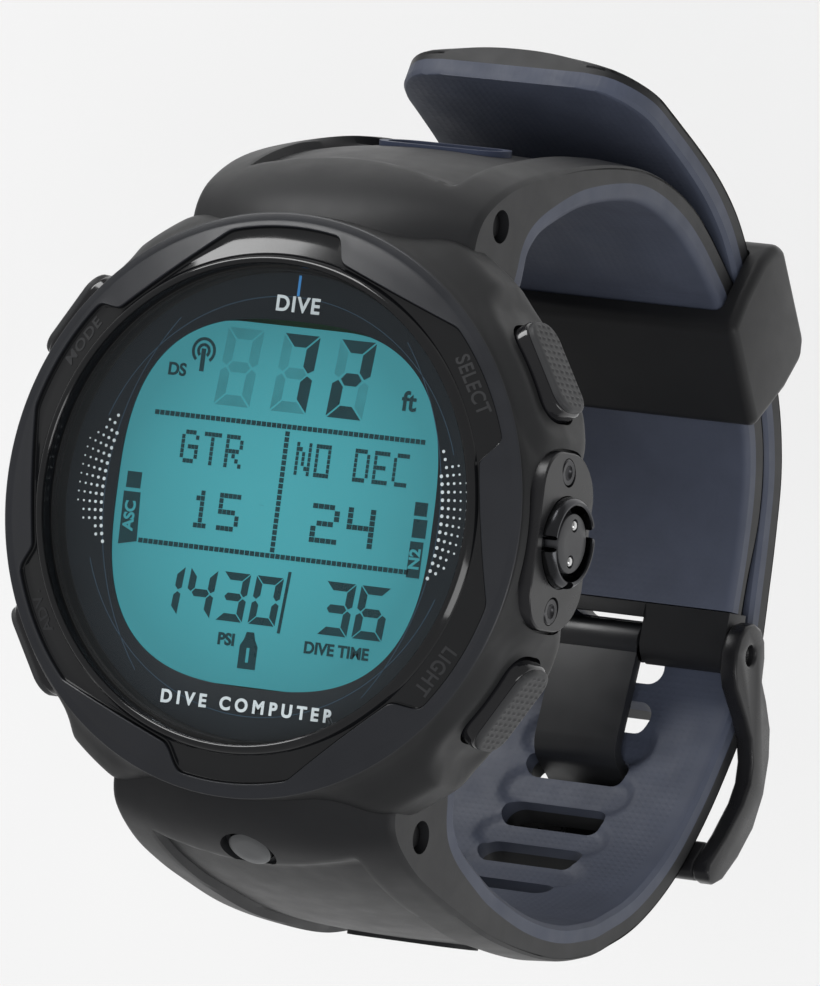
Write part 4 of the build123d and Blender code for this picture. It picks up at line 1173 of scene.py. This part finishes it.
def make_display():
    """The display's lit and unlit segments and its lettering, laid out in (x, y) millimetres."""
    z = LCD_TOP
    lit = number("72", 3.55, 12.35, 3.75, 7.2, 1.15, 5.9)
    lit += number("1430", -4.5, -8.6, 2.8, 4.5, 0.70, 3.45)
    lit += number("36", 9.9, -8.55, 3.1, 4.9, 0.76, 3.65)
    rules = (((-13.2, 7.45), (14.7, 7.45)), ((-13.2, -4.45), (14.7, -4.45)), ((0.65, 6.8), (0.65, -3.9)))
    for ends in rules:
        lit += dotted(*ends)
    lit += pixel_text("GTR", -7.0, 4.6, 0.365, 0.44) + pixel_text("NO DEC", 7.7, 4.65, 0.318, 0.44)
    lit += pixel_text("15", -5.8, -1.0, 0.45, 0.50) + pixel_text("24", 7.6, -1.0, 0.58, 0.52)
    slash = [(2.65, -5.7), (2.95, -5.7), (2.55, -11.4), (2.25, -11.4)]
    ascent_tag = [(-15.5, -5.0), (-13.6, -4.6), (-13.85, -0.1), (-15.6, -0.1)]
    tank = [(-1.4, -12.9), (-1.4, -15.0), (0.45, -15.0), (0.45, -12.9), (0.1, -12.3), (-0.1, -11.6),
            (-0.85, -11.6), (-1.05, -12.3)]
    lit += [slash, ascent_tag, bar(-15.45, 0.25, -13.95, 1.75)]
    lit += [bar(14.75, 0.75, 16.05, 2.0), bar(14.8, -1.25, 16.2, 0.45), bar(14.75, -4.9, 16.1, -1.6), tank]
    lit.append(bar(-9.4, 11.6, -8.95, 13.7))
    lit += [arc_band(-9.17, 13.5, radius - 0.28, radius, -50, 230, 22) for radius in (0.7, 1.25)]
    flat_piece("display_segments", lit, z + 0.02, 0.05, "segment")
    unlit = number("888", 0.6, 12.35, 3.75, 7.2, 1.0, 5.9)
    flat_piece("display_unlit", unlit, z + 0.005, 0.01, "unlit")
    for name, text, size, center, bold in (("unit_ft", "ft", 2.5, (12.75, 10.9), 0.06),
                                           ("ds", "DS", 1.6, (-11.7, 11.5), 0.05),
                                           ("psi", "PSI", 1.5, (-2.9, -12.55), 0.06),
                                           ("dive_time", "DIVE TIME", 1.5, (8.6, -12.4), 0.05)):
        words(f"display_{name}", text, size, center, z + 0.06, "segment", bold=bold)
    # these letters use the lcd material, whose glow is painted light
    words("display_asc", "ASC", 1.5, (-14.65, -2.3), z + 0.09, "lcd", turn=90, bold=0.05)
    words("display_n2", "N2", 1.5, (15.45, -3.2), z + 0.09, "lcd", turn=90, bold=0.05)
    words("display_tank_one", "1", 1.8, (-0.48, -13.8), z + 0.09, "lcd", bold=0.06)


def make_print():
    """The generic lettering, the blue tick, and the dots and arcs printed on the mask."""
    z = MASK_TOP
    words("dial_title", "DIVE", 2.0, (0.1, 18.55), z + 0.03, "print_white", spacing=1.15, bold=0.05)
    words("dial_label", "D I V E   C O M P U T E R", 1.65, (0.2, -18.4), z + 0.03, "print_white", bold=0.06)
    flat_piece("dial_tick", [bar(-0.13, 19.4, 0.13, 21.3)], z, 0.03, "print_blue")
    dots = []
    for middle in (4, 176):
        for row in range(5):
            radius, size, reach = 17.75 + 0.62 * row, 0.17 - 0.022 * row, 22 - 3.4 * row
            for k in np.arange(-reach, reach + 0.1, 2.35):
                angle = math.radians(middle + k + (1.17 if row % 2 else 0))
                spot = circle(size, 10) + [radius * math.cos(angle), radius * math.sin(angle)]
                if abs(spot[:, 0]).min() > 16.8:
                    dots.append(spot)
    flat_piece("dial_dots", dots, z, 0.03, "print_white")
    arcs = [arc_band(cx, 0, radius - 0.035, radius + 0.035, first, last, 90) for cx, radius, first, last in
            ((0, 19.3, 20, 160), (0, 19.3, 200, 340), (-9, 26.5, -38, 38), (9, 26.5, 142, 218))]
    flat_piece("dial_arcs", arcs, z, 0.02, "print_dim")


def make_crystal():
    base, edge = 15.2, 0.12
    profile = [(0.02, base), (CRYSTAL_R, base), (CRYSTAL_R, CRYSTAL_TOP - edge),
               (CRYSTAL_R - edge, CRYSTAL_TOP), (0.02, CRYSTAL_TOP)]
    verts, faces = turned(profile)
    crystal = make_piece("crystal_disc", verts, faces, "crystal", smooth=30)
    crystal.visible_shadow = False
    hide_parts("crystal")


def make_engravings():
    """The buttons' generic names on the bezel, at clock angles in degrees from 12."""
    radius = 24.2
    for text, clockwise in (("SELECT", 57.4), ("LIGHT", 122.6), ("ADV.", 240), ("MODE", 302.6)):
        angle = math.radians(90 - clockwise)
        center = (radius * math.cos(angle), radius * math.sin(angle))
        words(f"bezel_word_{text.strip('.').lower()}", text, 1.7, center, 0, "engraved",
              turn=-clockwise, spacing=1.1, bold=0.03, surface=lambda r: cone(r) - 0.49)


# --- the rest of the CAD nodes get finished materials ------------------------------------------


NODE_LOOKS = {"lug_pin_short": "pin_dark", "lug_pin_long": "pin_dark", "strap_inlay_long": "strap_black"}


def finish_cad_nodes():
    """Gives each CAD node the material of its slot, or the one named for it."""
    slots = {s["node"]: s["material_slot"] for s in frame["record"]["subparts"]}
    for node, piece in frame["nodes"].items():
        material = M[NODE_LOOKS.get(node, slots[node] if slots[node] in M else "case_black")]
        if len(piece.data.materials) == 0:
            piece.data.materials.append(material)
        for index in range(len(piece.data.materials)):
            piece.data.materials[index] = material


# --- stage, light and camera -------------------------------------------------------------------
CAMERA_BACK = Vector((0.474, -0.025, 0.880)).normalized()
CAMERA_UP = Vector((-0.103, 0.991, 0.083))
CAMERA_AIM = Vector((5.3, 3.2, -2.6)) * MM
CAMERA_DISTANCE = 1108 * MM
CAMERA_LENS = 438.1


def make_camera():
    data = bpy.data.cameras.new("camera")
    data.lens = CAMERA_LENS
    data.clip_start, data.clip_end = 0.01, 20
    camera = bpy.data.objects.new("camera", data)
    bpy.context.scene.collection.objects.link(camera)
    right = CAMERA_UP.cross(CAMERA_BACK).normalized()
    up = CAMERA_BACK.cross(right)
    turn = Matrix((right, up, CAMERA_BACK)).transposed()
    camera.matrix_world = Matrix.Translation(CAMERA_AIM + CAMERA_BACK * CAMERA_DISTANCE) @ turn.to_4x4()
    bpy.context.scene.camera = camera


def area_light(name, direction, distance, size, power):
    """A soft light that faces the object from a direction, metres away."""
    data = bpy.data.lights.new(name, "AREA")
    data.shape = "RECTANGLE"
    data.size, data.size_y = size
    data.energy = power
    light = bpy.data.objects.new(name, data)
    bpy.context.scene.collection.objects.link(light)
    d = Vector(direction).normalized()
    light.location = CAMERA_AIM + d * distance
    light.rotation_mode = "QUATERNION"
    light.rotation_quaternion = (-d).to_track_quat("-Z", "Y")
    return light


def make_stage():
    floor = bpy.data.meshes.new("floor")
    half, z = 3.0, -0.30
    corners = [(-half, -half, z), (half, -half, z), (half, half, z), (-half, half, z)]
    floor.from_pydata(corners, [], [(0, 1, 2, 3)])
    ground = bpy.data.objects.new("floor", floor)
    bpy.context.scene.collection.objects.link(ground)
    look = Look("floor_pale", (0.80, 0.80, 0.80), 0.9).mottle(60.0, 0.01)
    floor.materials.append(look.mat)
    world = bpy.data.worlds.new("studio")
    world.use_nodes = True
    sky = world.node_tree.nodes["Background"]
    sky.inputs["Color"].default_value = (1, 1, 1, 1)
    sky.inputs["Strength"].default_value = 0.30
    bpy.context.scene.world = world
    bpy.context.scene.view_settings.view_transform = "Standard"
    area_light("key", (-0.45, 0.85, 0.42), 1.0, (0.8, 0.45), 7.0)
    top = area_light("top", (0.35, -0.25, 1.0), 1.5, (0.9, 0.9), 20.0)
    top.visible_glossy = False  # it lights the object without a glare on the crystal and the bezel
    area_light("side", (0.95, -0.35, 0.25), 0.9, (0.3, 0.6), 1.6)


finish_cad_nodes()
make_case()
make_bezel()
make_short_strap()
make_long_strap()
make_contact()
for button_name, button_azimuth in BUTTON_AZIMUTHS.items():
    make_button(button_name, button_azimuth)
make_port()
make_keeper()
make_buckle()
make_mask()
make_display()
make_print()
make_crystal()
make_engravings()
make_stage()
make_camera()
